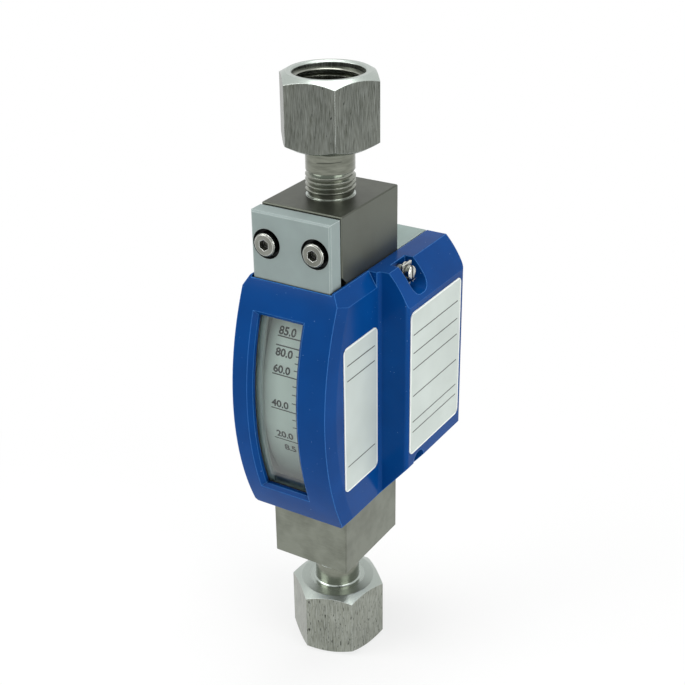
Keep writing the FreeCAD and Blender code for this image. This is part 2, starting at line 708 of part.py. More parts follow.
def window_rim(shell):
    """The four outer edges of the window opening, on the bowed front."""
    half = WINDOW_HEIGHT / 2
    inner_r = FRONT_BOW_R - FRONT_WALL / 2
    centre_y = FRONT_APEX + FRONT_BOW_R
    rim = []
    for edge in shell.Edges:
        bounds = edge.BoundBox
        middle = edge.valueAt((edge.FirstParameter + edge.LastParameter) / 2)
        on_front = math.hypot(middle.y - centre_y, middle.z - HOOD_MIDDLE) > inner_r
        in_width = bounds.XMin > WINDOW_LEFT - 0.01 and bounds.XMax < WINDOW_RIGHT + 0.01
        in_height = bounds.ZMin > HOOD_MIDDLE - half - 0.01 and bounds.ZMax < HOOD_MIDDLE + half + 0.01
        if on_front and in_width and in_height:
            rim.append(edge)
    return rim


def upper_pocket(grow):
    bottom = HOOD_TOP - POCKET_DEPTH - grow
    return rounded_slot(POCKET_WIDTH + 2 * grow, POCKET_DEPTH + grow + 2, POCKET_CORNER_R + grow,
                        POCKET_FRONT - grow, bottom, POCKET_INNER_X - grow, RAISED_X + 2)


def lower_notch(grow):
    rise = RAISED_BOTTOM_RISE + NOTCH_RISE
    pocket = rounded_slot(NOTCH_WIDTH + 2 * grow, rise + grow + 2, NOTCH_CORNER_R + grow,
                          NOTCH_FRONT - grow, 0, POCKET_INNER_X - grow, RAISED_X + 2)
    pocket.rotate(Vector(0, NOTCH_FRONT + NOTCH_WIDTH / 2, 0), X_AXIS, 180)
    pocket.translate(Vector(0, 0, HOOD_BOTTOM + rise + grow))
    return pocket


def hood_boss_places():
    """X and Z of the four bosses that take the hood's rear screws."""
    side = RAISED_X - HOOD_WALL - HOOD_BOSS_R + HOOD_BOSS_INTO_WALL
    places = []
    for x in (-side, side):
        for z in (HOOD_BOTTOM + HOOD_BOSS_RISE, HOOD_TOP - HOOD_BOSS_DROP):
            places.append((x, z))
    return places


def hood_boss(x, z):
    start = HOOD_BACK - FLANGE_THICKNESS - HOOD_BOSS_LENGTH
    return cylinder(HOOD_BOSS_R, HOOD_BOSS_LENGTH, Vector(x, start, z), Y_AXIS)


def hood_slots():
    """Cuts in the hood's top and bottom for the block, the front plate and the base."""
    half = BLOCK_WIDTH / 2 + SLOT_CLEARANCE
    front = plate_front() - SLOT_CLEARANCE
    top = box((-half, half), (front, HOOD_BACK + 1), (HOOD_MIDDLE, HOOD_TOP + 1))
    lower_front = BLOCK_FRONT - SLOT_CLEARANCE
    bottom = box((-half, half), (lower_front, HOOD_BACK + 1), (HOOD_BOTTOM - 1, HOOD_MIDDLE))
    return top.fuse(bottom)


def hood():
    outer = hood_form(0.0, 0.0, HOOD_BACK)
    shell = outer.cut(hood_form(FRONT_WALL, HOOD_WALL, HOOD_BACK + 1))
    pocket_walls = upper_pocket(HOOD_WALL).fuse(lower_notch(HOOD_WALL)).common(outer)
    shell = shell.fuse(pocket_walls)
    for x, z in hood_boss_places():
        shell = shell.fuse(hood_boss(x, z).common(outer))
    for x, z in hood_boss_places():
        start = HOOD_BACK - FLANGE_THICKNESS - HOOD_SCREW_LENGTH
        shell = shell.cut(cylinder(HOOD_SCREW_R, HOOD_SCREW_LENGTH, Vector(x, start, z), Y_AXIS))
    shell = shell.cut(upper_pocket(0.0)).cut(lower_notch(0.0))
    shell = shell.cut(window_cut()).cut(hood_slots()).removeSplitter()
    return shell.makeChamfer(WINDOW_CHAMFER, window_rim(shell))


def window_gasket():
    """Soft frame between the hood's front wall and the pane."""
    near = FRONT_WALL
    far = near + GASKET_THICKNESS
    half = WINDOW_HEIGHT / 2
    frame = bowed_plate(near, far, pane_range(), half + PANE_MARGIN)
    hole = box((WINDOW_LEFT, WINDOW_RIGHT), (FRONT_APEX, 0), (HOOD_MIDDLE - half, HOOD_MIDDLE + half))
    return frame.cut(hole)


def pane_range():
    return (WINDOW_LEFT - PANE_MARGIN, WINDOW_RIGHT + PANE_MARGIN)


def window_pane():
    near = FRONT_WALL + GASKET_THICKNESS
    return bowed_plate(near, near + PANE_THICKNESS, pane_range(), WINDOW_HEIGHT / 2 + PANE_MARGIN)


# ---------------------------------------------------------------- labels and earth terminal

def label_plate(side, front, width, top, height):
    """Thin plate with rounded corners on a side face."""
    bottom = HOOD_TOP - top - height
    body = box((side, side + LABEL_THICKNESS), (front, front + width), (bottom, bottom + height))
    corners = [edge for edge in body.Edges if abs(edge.BoundBox.XLength - LABEL_THICKNESS) < 0.01]
    return body.makeFillet(LABEL_CORNER_R, corners)


def large_label():
    return label_plate(RAISED_X, LARGE_LABEL_FRONT, LARGE_LABEL_WIDTH, LARGE_LABEL_TOP,
                       LARGE_LABEL_HEIGHT)


def small_label():
    return label_plate(PANEL_X, SMALL_LABEL_FRONT, SMALL_LABEL_WIDTH, SMALL_LABEL_TOP,
                       SMALL_LABEL_HEIGHT)


def earth_point(x):
    return Vector(x, EARTH_Y, HOOD_TOP - EARTH_DROP)


def earth_boss():
    body = cylinder(EARTH_BOSS_R, EARTH_BOSS_LENGTH, earth_point(POCKET_INNER_X), X_AXIS)
    return body.cut(cylinder(EARTH_SCREW_R, EARTH_BOSS_LENGTH, earth_point(POCKET_INNER_X), X_AXIS))


def earth_washer():
    start = POCKET_INNER_X + EARTH_BOSS_LENGTH
    body = cylinder(EARTH_WASHER_R, EARTH_WASHER, earth_point(start), X_AXIS)
    return body.cut(cylinder(EARTH_SCREW_R, EARTH_WASHER, earth_point(start), X_AXIS))


def earth_clamp():
    """Square saddle sheet with two tabs bent outwards along its lower edge."""
    start = POCKET_INNER_X + EARTH_BOSS_LENGTH + EARTH_WASHER
    half = CLAMP_SIZE / 2
    centre = earth_point(start)
    low = centre.z - half
    body = box((start, start + CLAMP_SHEET), (centre.y - half, centre.y + half),
               (low, centre.z + half))
    for y in (centre.y - half, centre.y + half - CLAMP_TAB_WIDTH):
        tab = box((start, start + CLAMP_TAB), (y, y + CLAMP_TAB_WIDTH), (low - CLAMP_SHEET, low))
        body = body.fuse(tab)
    return body.cut(cylinder(EARTH_SCREW_R, CLAMP_SHEET, centre, X_AXIS)).removeSplitter()


def earth_screw():
    seat = POCKET_INNER_X + EARTH_BOSS_LENGTH + EARTH_WASHER + CLAMP_SHEET
    shank_length = seat - POCKET_INNER_X
    shank = cylinder(EARTH_SCREW_R - FIT_CLEARANCE, shank_length, earth_point(POCKET_INNER_X), X_AXIS)
    head = cylinder(EARTH_HEAD_R, EARTH_HEAD, earth_point(seat), X_AXIS)
    rim = [edge for edge in head.Edges if edge.BoundBox.XMin > seat + EARTH_HEAD - 0.01]
    head = head.makeChamfer(EARTH_HEAD_CHAMFER, rim)
    centre = earth_point(seat)
    slot = box((seat + EARTH_HEAD - EARTH_SLOT_DEPTH, seat + EARTH_HEAD + 1),
               (centre.y - EARTH_SLOT / 2, centre.y + EARTH_SLOT / 2),
               (centre.z - EARTH_HEAD_R - 1, centre.z + EARTH_HEAD_R + 1))
    return shank.fuse(head).cut(slot)


# ---------------------------------------------------------------- scale and its carrier

def arc_half_angle(radius, half_height):
    return math.degrees(math.asin(half_height / radius))


def scale_plate():
    """Thin sheet bent about the pivot, its ends level with the carrier's end walls."""
    half_angle = arc_half_angle(SCALE_R, SCALE_HALF_HEIGHT)
    return arc_band(SCALE_R - SCALE_THICKNESS, SCALE_R, half_angle, SCALE_LEFT, SCALE_RIGHT)


def scale_carrier():
    """Left cheek, two end walls and a bowed front rim, seated on the block's set-back face."""
    near = FRONT_WALL + GASKET_THICKNESS + PANE_THICKNESS + FIT_CLEARANCE
    seat = BLOCK_FRONT + BLOCK_STEP
    left = SCALE_LEFT - CARRIER_WALL
    outer_half = SCALE_HALF_HEIGHT + CARRIER_WALL
    low = HOOD_MIDDLE - outer_half
    high = HOOD_MIDDLE + outer_half
    centre_y = FRONT_APEX + FRONT_BOW_R
    bow = cylinder(FRONT_BOW_R - near, SCALE_RIGHT - left, Vector(left, centre_y, HOOD_MIDDLE), X_AXIS)
    block_out = box((left, SCALE_RIGHT), (FRONT_APEX, seat), (low, high)).common(bow)
    inside = box((SCALE_LEFT, SCALE_RIGHT + 1), (FRONT_APEX + near + CARRIER_RIM, seat + 1),
                 (HOOD_MIDDLE - SCALE_HALF_HEIGHT, HOOD_MIDDLE + SCALE_HALF_HEIGHT))
    inner_bow = cylinder(FRONT_BOW_R - near - CARRIER_RIM, SCALE_RIGHT - SCALE_LEFT + 2,
                         Vector(SCALE_LEFT, centre_y, HOOD_MIDDLE), X_AXIS)
    body = block_out.cut(inside.common(inner_bow))
    view_half = SCALE_HALF_HEIGHT - CARRIER_RIM_WIDTH / 2
    view = box((SCALE_LEFT + CARRIER_RIM_WIDTH, SCALE_RIGHT + 1), (FRONT_APEX, seat),
               (HOOD_MIDDLE - view_half, HOOD_MIDDLE + view_half))
    body = body.cut(view)
    return body.removeSplitter()


# ---------------------------------------------------------------- indicator base

def base_screw_heights():
    return (HOOD_MIDDLE - BASE_SCREW_PITCH / 2, HOOD_MIDDLE + BASE_SCREW_PITCH / 2)


def bracket_screw_heights():
    offset = BRACKET_SPAN / 2 + BRACKET_FOOT / 2
    return (PIVOT_Z - offset, PIVOT_Z + offset)


def indicator_base():
    """Pillar on the block's back, with a rear flange that closes the hood."""
    pillar = box((-BASE_HALF_WIDTH, BASE_HALF_WIDTH), (BLOCK_BACK, HOOD_BACK), (HOOD_BOTTOM, HOOD_TOP))
    slab = box((-RAISED_X, RAISED_X), (HOOD_BACK - FLANGE_THICKNESS, HOOD_BACK),
               (HOOD_BOTTOM, HOOD_TOP))
    flange = hood_form(FRONT_WALL, HOOD_WALL + FLANGE_CLEARANCE, HOOD_BACK).common(slab)
    body = pillar.fuse(flange)
    head_seat = BLOCK_BACK + BASE_SCREW_SEAT
    for z in base_screw_heights():
        body = body.cut(cylinder(SCREW_HOLE_R, BASE_SCREW_SEAT, Vector(0, BLOCK_BACK, z), Y_AXIS))
        depth = HOOD_BACK - head_seat
        body = body.cut(cylinder(SCREW_HEAD_R + BODY_CLEARANCE, depth, Vector(0, head_seat, z), Y_AXIS))
    for x, z in hood_boss_places():
        start = Vector(x, HOOD_BACK - FLANGE_THICKNESS, z)
        body = body.cut(cylinder(HOOD_SCREW_R + FIT_CLEARANCE, FLANGE_THICKNESS, start, Y_AXIS))
    seat = Vector(BASE_HALF_WIDTH, PIVOT_Y, PIVOT_Z)
    body = body.cut(cylinder(BUSH_R, BUSH_LENGTH, seat, -X_AXIS))
    for z in bracket_screw_heights():
        hole = cylinder(BRACKET_SCREW_R, BRACKET_SCREW_LENGTH, Vector(BASE_HALF_WIDTH, PIVOT_Y, z), -X_AXIS)
        body = body.cut(hole)
    return body.removeSplitter()


def base_screw(index):
    seat = Vector(0, BLOCK_BACK + BASE_SCREW_SEAT, base_screw_heights()[index])
    return cap_screw(seat, -Y_AXIS, BASE_SCREW_SEAT + BASE_SCREW_ENGAGEMENT)


def base_screw_lower():
    return base_screw(0)


def base_screw_upper():
    return base_screw(1)


def pan_screw(seat, direction, shank_r, length, head_r, head_height):
    """Small pan head screw: head above the seat, shank along the direction."""
    shank = cylinder(shank_r, length, seat, direction)
    head = cylinder(head_r, head_height, seat, -direction)
    rim = [edge for edge in head.Edges
           if (edge.CenterOfMass - seat).dot(-direction) > head_height - 0.01]
    return shank.fuse(head.makeChamfer(head_height * PAN_HEAD_CHAMFER, rim))


def hood_screw(index):
    x, z = hood_boss_places()[index]
    seat = Vector(x, HOOD_BACK, z)
    shank_r = HOOD_SCREW_R - FIT_CLEARANCE
    return pan_screw(seat, -Y_AXIS, shank_r, HOOD_SCREW_LENGTH, HOOD_SCREW_HEAD_R, HOOD_SCREW_HEAD)


def hood_screw_lower_left():
    return hood_screw(0)


def hood_screw_upper_left():
    return hood_screw(1)


def hood_screw_lower_right():
    return hood_screw(2)


def hood_screw_upper_right():
    return hood_screw(3)


# ---------------------------------------------------------------- pointer movement

def pivot_point(x, y=0.0, z=0.0):
    return Vector(x, PIVOT_Y + y, PIVOT_Z + z)


def bracket_outer_x():
    return BASE_HALF_WIDTH + BRACKET_REACH


def pivot_bracket():
    """Sheet bracket over the pointer's hub, its two feet on the base."""
    half = BRACKET_SPAN / 2
    foot = half + BRACKET_FOOT
    inner = BASE_HALF_WIDTH
    outer = bracket_outer_x()
    sheet = BRACKET_SHEET
    outline = [(inner, -foot), (inner + sheet, -foot), (inner + sheet, -half), (outer, -half),
               (outer, half), (inner + sheet, half), (inner + sheet, foot), (inner, foot),
               (inner, half - sheet), (outer - sheet, half - sheet),
               (outer - sheet, -half + sheet), (inner, -half + sheet)]
    points = [pivot_point(x, -BRACKET_WIDTH / 2, z) for x, z in outline]
    body = polygon_prism(points, Vector(0, BRACKET_WIDTH, 0))
    body = body.cut(cylinder(BUSH_R, sheet, pivot_point(outer - sheet), X_AXIS))
    for z in bracket_screw_heights():
        hole = cylinder(BRACKET_SCREW_R + FIT_CLEARANCE, sheet, Vector(inner, PIVOT_Y, z), X_AXIS)
        body = body.cut(hole)
    return body


def bracket_screw(index):
    seat = Vector(BASE_HALF_WIDTH + BRACKET_SHEET, PIVOT_Y, bracket_screw_heights()[index])
    shank_r = BRACKET_SCREW_R - FIT_CLEARANCE
    return pan_screw(seat, -X_AXIS, shank_r, BRACKET_SCREW_LENGTH, BRACKET_SCREW_HEAD_R,
                     BRACKET_SCREW_HEAD)


def bracket_screw_lower():
    return bracket_screw(0)


def bracket_screw_upper():
    return bracket_screw(1)


def bearing_bush(start, length):
    body = cylinder(BUSH_R, length, pivot_point(start), X_AXIS)
    return body.cut(cylinder(SPINDLE_R + RUNNING_CLEARANCE, length, pivot_point(start), X_AXIS))


def inner_bush():
    return bearing_bush(BASE_HALF_WIDTH - BUSH_LENGTH, BUSH_LENGTH)


def outer_bush():
    return bearing_bush(bracket_outer_x() - BRACKET_SHEET, BRACKET_SHEET)


def spindle():
    start = BASE_HALF_WIDTH - BUSH_LENGTH + HUB_END_GAP
    return cylinder(SPINDLE_R, bracket_outer_x() - start, pivot_point(start), X_AXIS)


def arm_outer_x():
    return ARM_INNER_X + ARM_THICKNESS


def pointer_hub():
    outer = arm_outer_x()
    sleeve_start = BASE_HALF_WIDTH + HUB_END_GAP
    body = cylinder(HUB_R, HUB_LENGTH, pivot_point(outer), X_AXIS)
    body = body.fuse(cylinder(HUB_SLEEVE_R, outer - sleeve_start, pivot_point(sleeve_start), X_AXIS))
    length = outer + HUB_LENGTH - sleeve_start
    return body.cut(cylinder(SPINDLE_R, length, pivot_point(sleeve_start), X_AXIS))


def turned_to_rest(shape):
    """Turn a piece of the movement, drawn level, down to its rest angle."""
    shape.rotate(pivot_point(0), X_AXIS, -POINTER_REST)
    return shape


def pointer_arm():
    """Flat arm beside the block; its front end turns inwards across the scale."""
    front = -(TIP_R + POINTER_THICKNESS)
    tail = TAIL_LENGTH + COUNTERWEIGHT_R
    half = ARM_WIDTH / 2
    tip_half = TIP_HEIGHT / 2
    outline = [(tail, -half), (tail, half), (0, half), (front, tip_half), (front, -tip_half), (0, -half)]
    arm = polygon_prism([pivot_point(ARM_INNER_X, y, z) for y, z in outline],
                        Vector(ARM_THICKNESS, 0, 0))
    arm = arm.fuse(cylinder(FOLLOWER_R, ARM_THICKNESS, pivot_point(ARM_INNER_X, -FOLLOWER_RADIUS), X_AXIS))
    arm = arm.cut(cylinder(HUB_SLEEVE_R, ARM_THICKNESS, pivot_point(ARM_INNER_X), X_AXIS))
    tip = polygon_prism([
        pivot_point(arm_outer_x(), front, -tip_half),
        pivot_point(arm_outer_x(), front, tip_half),
        pivot_point(POINTER_TIP_X + TIP_POINT_LENGTH, front, tip_half * TIP_POINT_TAPER),
        pivot_point(POINTER_TIP_X, front, 0),
        pivot_point(POINTER_TIP_X + TIP_POINT_LENGTH, front, -tip_half * TIP_POINT_TAPER),
    ], Vector(0, POINTER_THICKNESS, 0))
    return turned_to_rest(arm.fuse(tip).removeSplitter())


def follower_magnet():
    centre = pivot_point(arm_outer_x(), -FOLLOWER_RADIUS)
    return turned_to_rest(cylinder(FOLLOWER_R, FOLLOWER_LENGTH, centre, X_AXIS))


def counterweight():
    centre = pivot_point(arm_outer_x(), TAIL_LENGTH)
    return turned_to_rest(cylinder(COUNTERWEIGHT_R, COUNTERWEIGHT_LENGTH, centre, X_AXIS))


PARTS = (
    measuring_block, lower_adaptor, upper_adaptor, lower_seal, upper_seal,
    lower_stop, upper_stop, measuring_cone, float_body, float_magnet,
    front_plate, plate_gasket, plate_screw_left, plate_screw_right,
    hood, window_gasket, window_pane, large_label, small_label,
    earth_boss, earth_washer, earth_clamp, earth_screw,
    scale_carrier, scale_plate, indicator_base, base_screw_lower, base_screw_upper,
    hood_screw_lower_left, hood_screw_upper_left,
    hood_screw_lower_right, hood_screw_upper_right,
    pivot_bracket, bracket_screw_lower, bracket_screw_upper,
    inner_bush, outer_bush, spindle, pointer_hub, pointer_arm,
    follower_magnet, counterweight,
)


def main():
    os.makedirs("parts", exist_ok=True)
    for make in PARTS:
        shape = make()
        print(make.__name__, len(shape.Solids), round(shape.Volume, 1), shape.isValid())
        shape.exportStep("parts/" + make.__name__ + ".step")


main()
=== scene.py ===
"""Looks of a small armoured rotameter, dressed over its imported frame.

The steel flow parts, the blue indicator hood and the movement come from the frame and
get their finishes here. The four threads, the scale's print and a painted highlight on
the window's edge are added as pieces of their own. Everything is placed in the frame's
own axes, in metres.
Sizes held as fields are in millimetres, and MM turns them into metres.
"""

import logging
import math
from dataclasses import dataclass
from enum import Enum
from typing import Dict, List, Optional, Sequence, Tuple, Union

import bmesh
import bpy
from mathutils import Matrix, Vector


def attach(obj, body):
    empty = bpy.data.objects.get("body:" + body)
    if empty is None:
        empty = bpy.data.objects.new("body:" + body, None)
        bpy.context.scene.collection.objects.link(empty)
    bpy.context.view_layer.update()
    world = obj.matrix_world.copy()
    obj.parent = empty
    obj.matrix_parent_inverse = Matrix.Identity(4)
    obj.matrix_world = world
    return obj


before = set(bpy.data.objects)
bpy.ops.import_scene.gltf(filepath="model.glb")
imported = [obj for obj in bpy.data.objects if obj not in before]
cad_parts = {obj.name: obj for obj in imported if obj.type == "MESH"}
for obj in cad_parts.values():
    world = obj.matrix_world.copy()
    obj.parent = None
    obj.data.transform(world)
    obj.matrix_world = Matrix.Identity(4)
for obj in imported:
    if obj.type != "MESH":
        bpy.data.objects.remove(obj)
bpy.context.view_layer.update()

LOG = logging.getLogger("rotameter")
MM = 0.001
SMOOTH_ANGLE = math.radians(35)    # faces that meet at less than this shade smoothly

Socket = bpy.types.NodeSocket
Point = Tuple[float, float, float]
Span = Tuple[float, float]
Colour = Tuple[float, float, float, float]
Key = Union[int, str]
Input = Union[float, Sequence[float], Socket]

WHITE: Colour = (1.0, 1.0, 1.0, 1.0)
ALIKE: Point = (1.0, 1.0, 1.0)     # a pattern with no direction
MIDDLE: Span = (0.3, 0.7)          # the range that most of a noise lies in
BROAD: Span = (0.2, 0.8)           # the range that nearly all of a noise lies in
EDGE_COSINE: Span = (0.997, 0.93)  # a face's own normal on its rounded one: flat, then edge
RECESS_LIGHT: Span = (0.85, 0.35)  # share of open sky: in the open, then deep in a corner
FULL: Span = (0.0, 1.0)            # a mask from end to end
SOFT = 2.0                         # finer octaves of a soft pattern
BROKEN = 3.0                       # finer octaves of a broken one
EDGE_SAMPLES = 6
RECESS_SAMPLES = 8


# ---------------------------------------------------------------- node helpers

def linear(hex_colour: str) -> Colour:
    """Turn an sRGB hex colour into a linear one.

    Args:
        hex_colour: Six hex digits, with or without a leading hash.

    Returns:
        Linear red, green, blue and an alpha of one.
    """
    digits = hex_colour.lstrip("#")
    channels = [int(digits[i:i + 2], 16) / 255 for i in (0, 2, 4)]
    flat = [c / 12.92 if c <= 0.04045 else ((c + 0.055) / 1.055) ** 2.4 for c in channels]
    return (flat[0], flat[1], flat[2], 1.0)


def ranged(value: Input, source: Span, result: Span = FULL) -> Dict[Key, Input]:
    """Inputs of a map range that turns one range of a value into another.

    Args:
        value: The value to map.
        source: Where the value starts and ends, in either order.
        result: What it becomes there, held beyond both ends.

    Returns:
        Socket number to value.
    """
    return {0: value, 1: source[0], 2: source[1], 3: result[0], 4: result[1]}


class Graph:
    """Node tree of a material or of the world."""

    def __init__(self, owner: Union[bpy.types.Material, bpy.types.World]) -> None:
        """Empty the owner's node tree.

        Args:
            owner: The new material or world.
        """
        owner.use_nodes = True
        self.owner = owner
        self.tree = owner.node_tree
        self.tree.nodes.clear()

    def add(self, kind: str, inputs: Optional[Dict[Key, Input]] = None, output: Key = 0,
            **settings: object) -> Optional[Socket]:
        """Add a node with its settings, values and links.

        Args:
            kind: Blender's node type, without the ShaderNode that starts its name.
            inputs: Socket name or number to a value, or to an output socket to link.
            output: Name or number of the output to return.
            settings: Attributes to set on the node.

        Returns:
            The output socket, or nothing where the node has none.
        """
        made = self.tree.nodes.new("ShaderNode" + kind)
        for key, value in settings.items():
            setattr(made, key, value)
        for key, value in (inputs or {}).items():
            if isinstance(value, bpy.types.NodeSocket):
                self.tree.links.new(value, made.inputs[key])
            else:
                made.inputs[key].default_value = value
        return made.outputs[output] if made.outputs else None

    def close(self, inputs: Dict[Key, Input]) -> bpy.types.Material:
        """Put a shader with these inputs on the output, and return the material."""
        self.add("OutputMaterial", {"Surface": self.add("BsdfPrincipled", inputs)})
        return self.owner

    def axes(self) -> Tuple[Socket, Socket, Socket]:
        """Split the object's own coordinates.

        Returns:
            X, Y and Z, in metres.
        """
        place = self.add("TexCoord", output="Object")
        x, y, z = self.add("SeparateXYZ", {0: place}).node.outputs
        return x, y, z

    def from_axis(self) -> Socket:
        """Measure how far a place is from the upright flow axis.

        Returns:
            The distance, in metres.
        """
        x, y, _ = self.axes()
        square = self.add("Math", {0: x, 1: x}, operation="MULTIPLY")
        square = self.add("Math", {0: y, 1: y, 2: square}, operation="MULTIPLY_ADD")
        return self.add("Math", {0: square}, operation="SQRT")

    def slope(self) -> Socket:
        """Measure how far a face looks up or down.

        Returns:
            0 on upright faces and 1 on level ones.
        """
        normal = self.add("NewGeometry", output="True Normal")
        upward = self.add("SeparateXYZ", {0: normal}, output=2)
        return self.add("Math", {0: upward}, operation="ABSOLUTE")

    def grain(self, size_mm: float, detail: float, stretch: Point = ALIKE,
              rough: float = 0.55) -> Socket:
        """Noise fixed to the object, whose grain has a real size.

        Args:
            size_mm: Size of one grain in millimetres.
            detail: Number of finer octaves.
            stretch: Factor on the grain's length along each axis.
            rough: Share of the finer octaves.

        Returns:
            The noise value, about 0.5 on average.
        """
        place = self.add("TexCoord", output="Object")
        scale = tuple(1 / (size_mm * MM * along) for along in stretch)
        place = self.add("Mapping", {"Vector": place, "Scale": scale})
        return self.add("TexNoise", {"Vector": place, "Scale": 1.0, "Detail": detail,
                                     "Roughness": rough})

    def layer(self, under: Input, paint: str, value: Input, source: Span,
              share: float = 1.0) -> Socket:
        """Lay a colour over another one by a pattern.

        Args:
            under: Colour or socket below.
            paint: sRGB hex colour on top.
            value: The pattern.
            source: Where the pattern starts to show the paint, and where it shows most.
            share: The most that the paint covers.

        Returns:
            The colour of both.
        """
        cover = self.add("MapRange", ranged(value, source, (0.0, share)))
        return self.add("Mix", {0: cover, 6: under, 7: linear(paint)}, output=2,
                        data_type="RGBA")

    def edge_light_and_wear(self, under: Input, paint: str, radius_mm: float, share: float) -> Socket:
        """Lay a colour along sharp edges: painted highlight and shade, and rubbed wear on the
        plate.

        Args:
            under: Colour or socket below.
            paint: sRGB hex colour along the edges.
            radius_mm: How far the edge colour reaches from an edge.
            share: The most that the paint covers.

        Returns:
            The colour of both.
        """
        rounded = self.add("Bevel", {"Radius": radius_mm * MM}, samples=EDGE_SAMPLES)
        own = self.add("NewGeometry", output="True Normal")
        cosine = self.add("VectorMath", {0: rounded, 1: own}, output="Value",
                          operation="DOT_PRODUCT")
        return self.layer(under, paint, cosine, EDGE_COSINE, share)

    def painted_recess_shade(self, under: Input, paint: str, reach_mm: float, share: float) -> Socket:
        """Paint shade into corners and hollows, where the walls of a recess are near.

        Args:
            under: Colour or socket below.
            paint: sRGB hex colour of the painted shade.
            reach_mm: How near the walls of a recess have to be.
            share: The most that the paint covers.

        Returns:
            The colour of both.
        """
        light = self.add("AmbientOcclusion", {"Distance": reach_mm * MM}, output="AO",
                         samples=RECESS_SAMPLES)
        return self.layer(under, paint, light, RECESS_LIGHT, share)

    def relief(self, height: Socket, bump: Span, edge_mm: float = 0.0) -> Socket:
        """Normal with fine relief.

        Args:
            height: Height from 0 to 1.
            bump: Depth in millimetres that a height of 1 stands for, and the share of it
                that shows.
            edge_mm: Radius that sharp edges are rounded to, or 0 to leave them.

        Returns:
            The normal.
        """
        inputs = {"Height": height, "Distance": bump[0] * MM, "Strength": bump[1]}
        if edge_mm:
            inputs["Normal"] = self.add("Bevel", {"Radius": edge_mm * MM},
                                        samples=EDGE_SAMPLES)
        return self.add("Bump", inputs)


# ---------------------------------------------------------------- finishes

@dataclass(frozen=True)
class GroundStainless:
    """Stainless bar, ground flat: satin grey with faint stains; painted shade darkens its top.

    The grinding scratches are drawn about four times as wide as real ones, to show.
    """

    name: str = "ground_stainless"
    # low, high and top are painted light and shade: lighter low down, darker higher up, darkest
    # on level top faces.
    low: str = "#81857a"
    high: str = "#5e6259"
    top: str = "#464940"
    stain: str = "#56594f"
    scratch: str = "#b4b8b0"
    # Painted shade along the sharp edges.
    edge: str = "#3b3d37"
    rough: Span = (0.33, 0.49)
    painted_shade_heights: Span = (50.0, 140.0)        # heights where painted shade turns the low tone to the darker high one
    level: Span = (0.5, 0.8)            # slopes where the painted shade of level top faces starts and is full
    stain_mm: float = 9.0
    stain_range: Span = (0.45, 0.7)
    stain_share: float = 0.55
    scratch_mm: float = 0.08
    scratch_run: Point = (40.0, 1.0, 1.0)
    scratch_range: Span = (0.4, 0.8)
    scratch_share: float = 0.22
    bump: Span = (0.01, 0.5)
    edge_mm: float = 0.25
    edge_share: float = 0.7

    def make(self) -> bpy.types.Material:
        """Build the material.

        Returns:
            The material, with its shader on the output.
        """
        g = Graph(bpy.data.materials.new(self.name))
        scratch = g.grain(self.scratch_mm, SOFT, self.scratch_run)
        stain = g.grain(self.stain_mm, BROKEN)
        painted_shade_heights = (self.painted_shade_heights[0] * MM, self.painted_shade_heights[1] * MM)
        # Painted light and shade: lighter low down, darker higher up, darkest on level top faces.
        tone = g.layer(linear(self.low), self.high, g.axes()[2], painted_shade_heights)
        tone = g.layer(tone, self.top, g.slope(), self.level)
        tone = g.layer(tone, self.stain, stain, self.stain_range, self.stain_share)
        tone = g.layer(tone, self.scratch, scratch, self.scratch_range, self.scratch_share)
        # Painted shade along the sharp edges.
        tone = g.edge_light_and_wear(tone, self.edge, self.edge_mm, self.edge_share)
        return g.close({"Base Color": tone, "Metallic": 1.0,
                        "Roughness": g.add("MapRange", ranged(scratch, BROAD, self.rough)),
                        "Normal": g.relief(scratch, self.bump, self.edge_mm)})


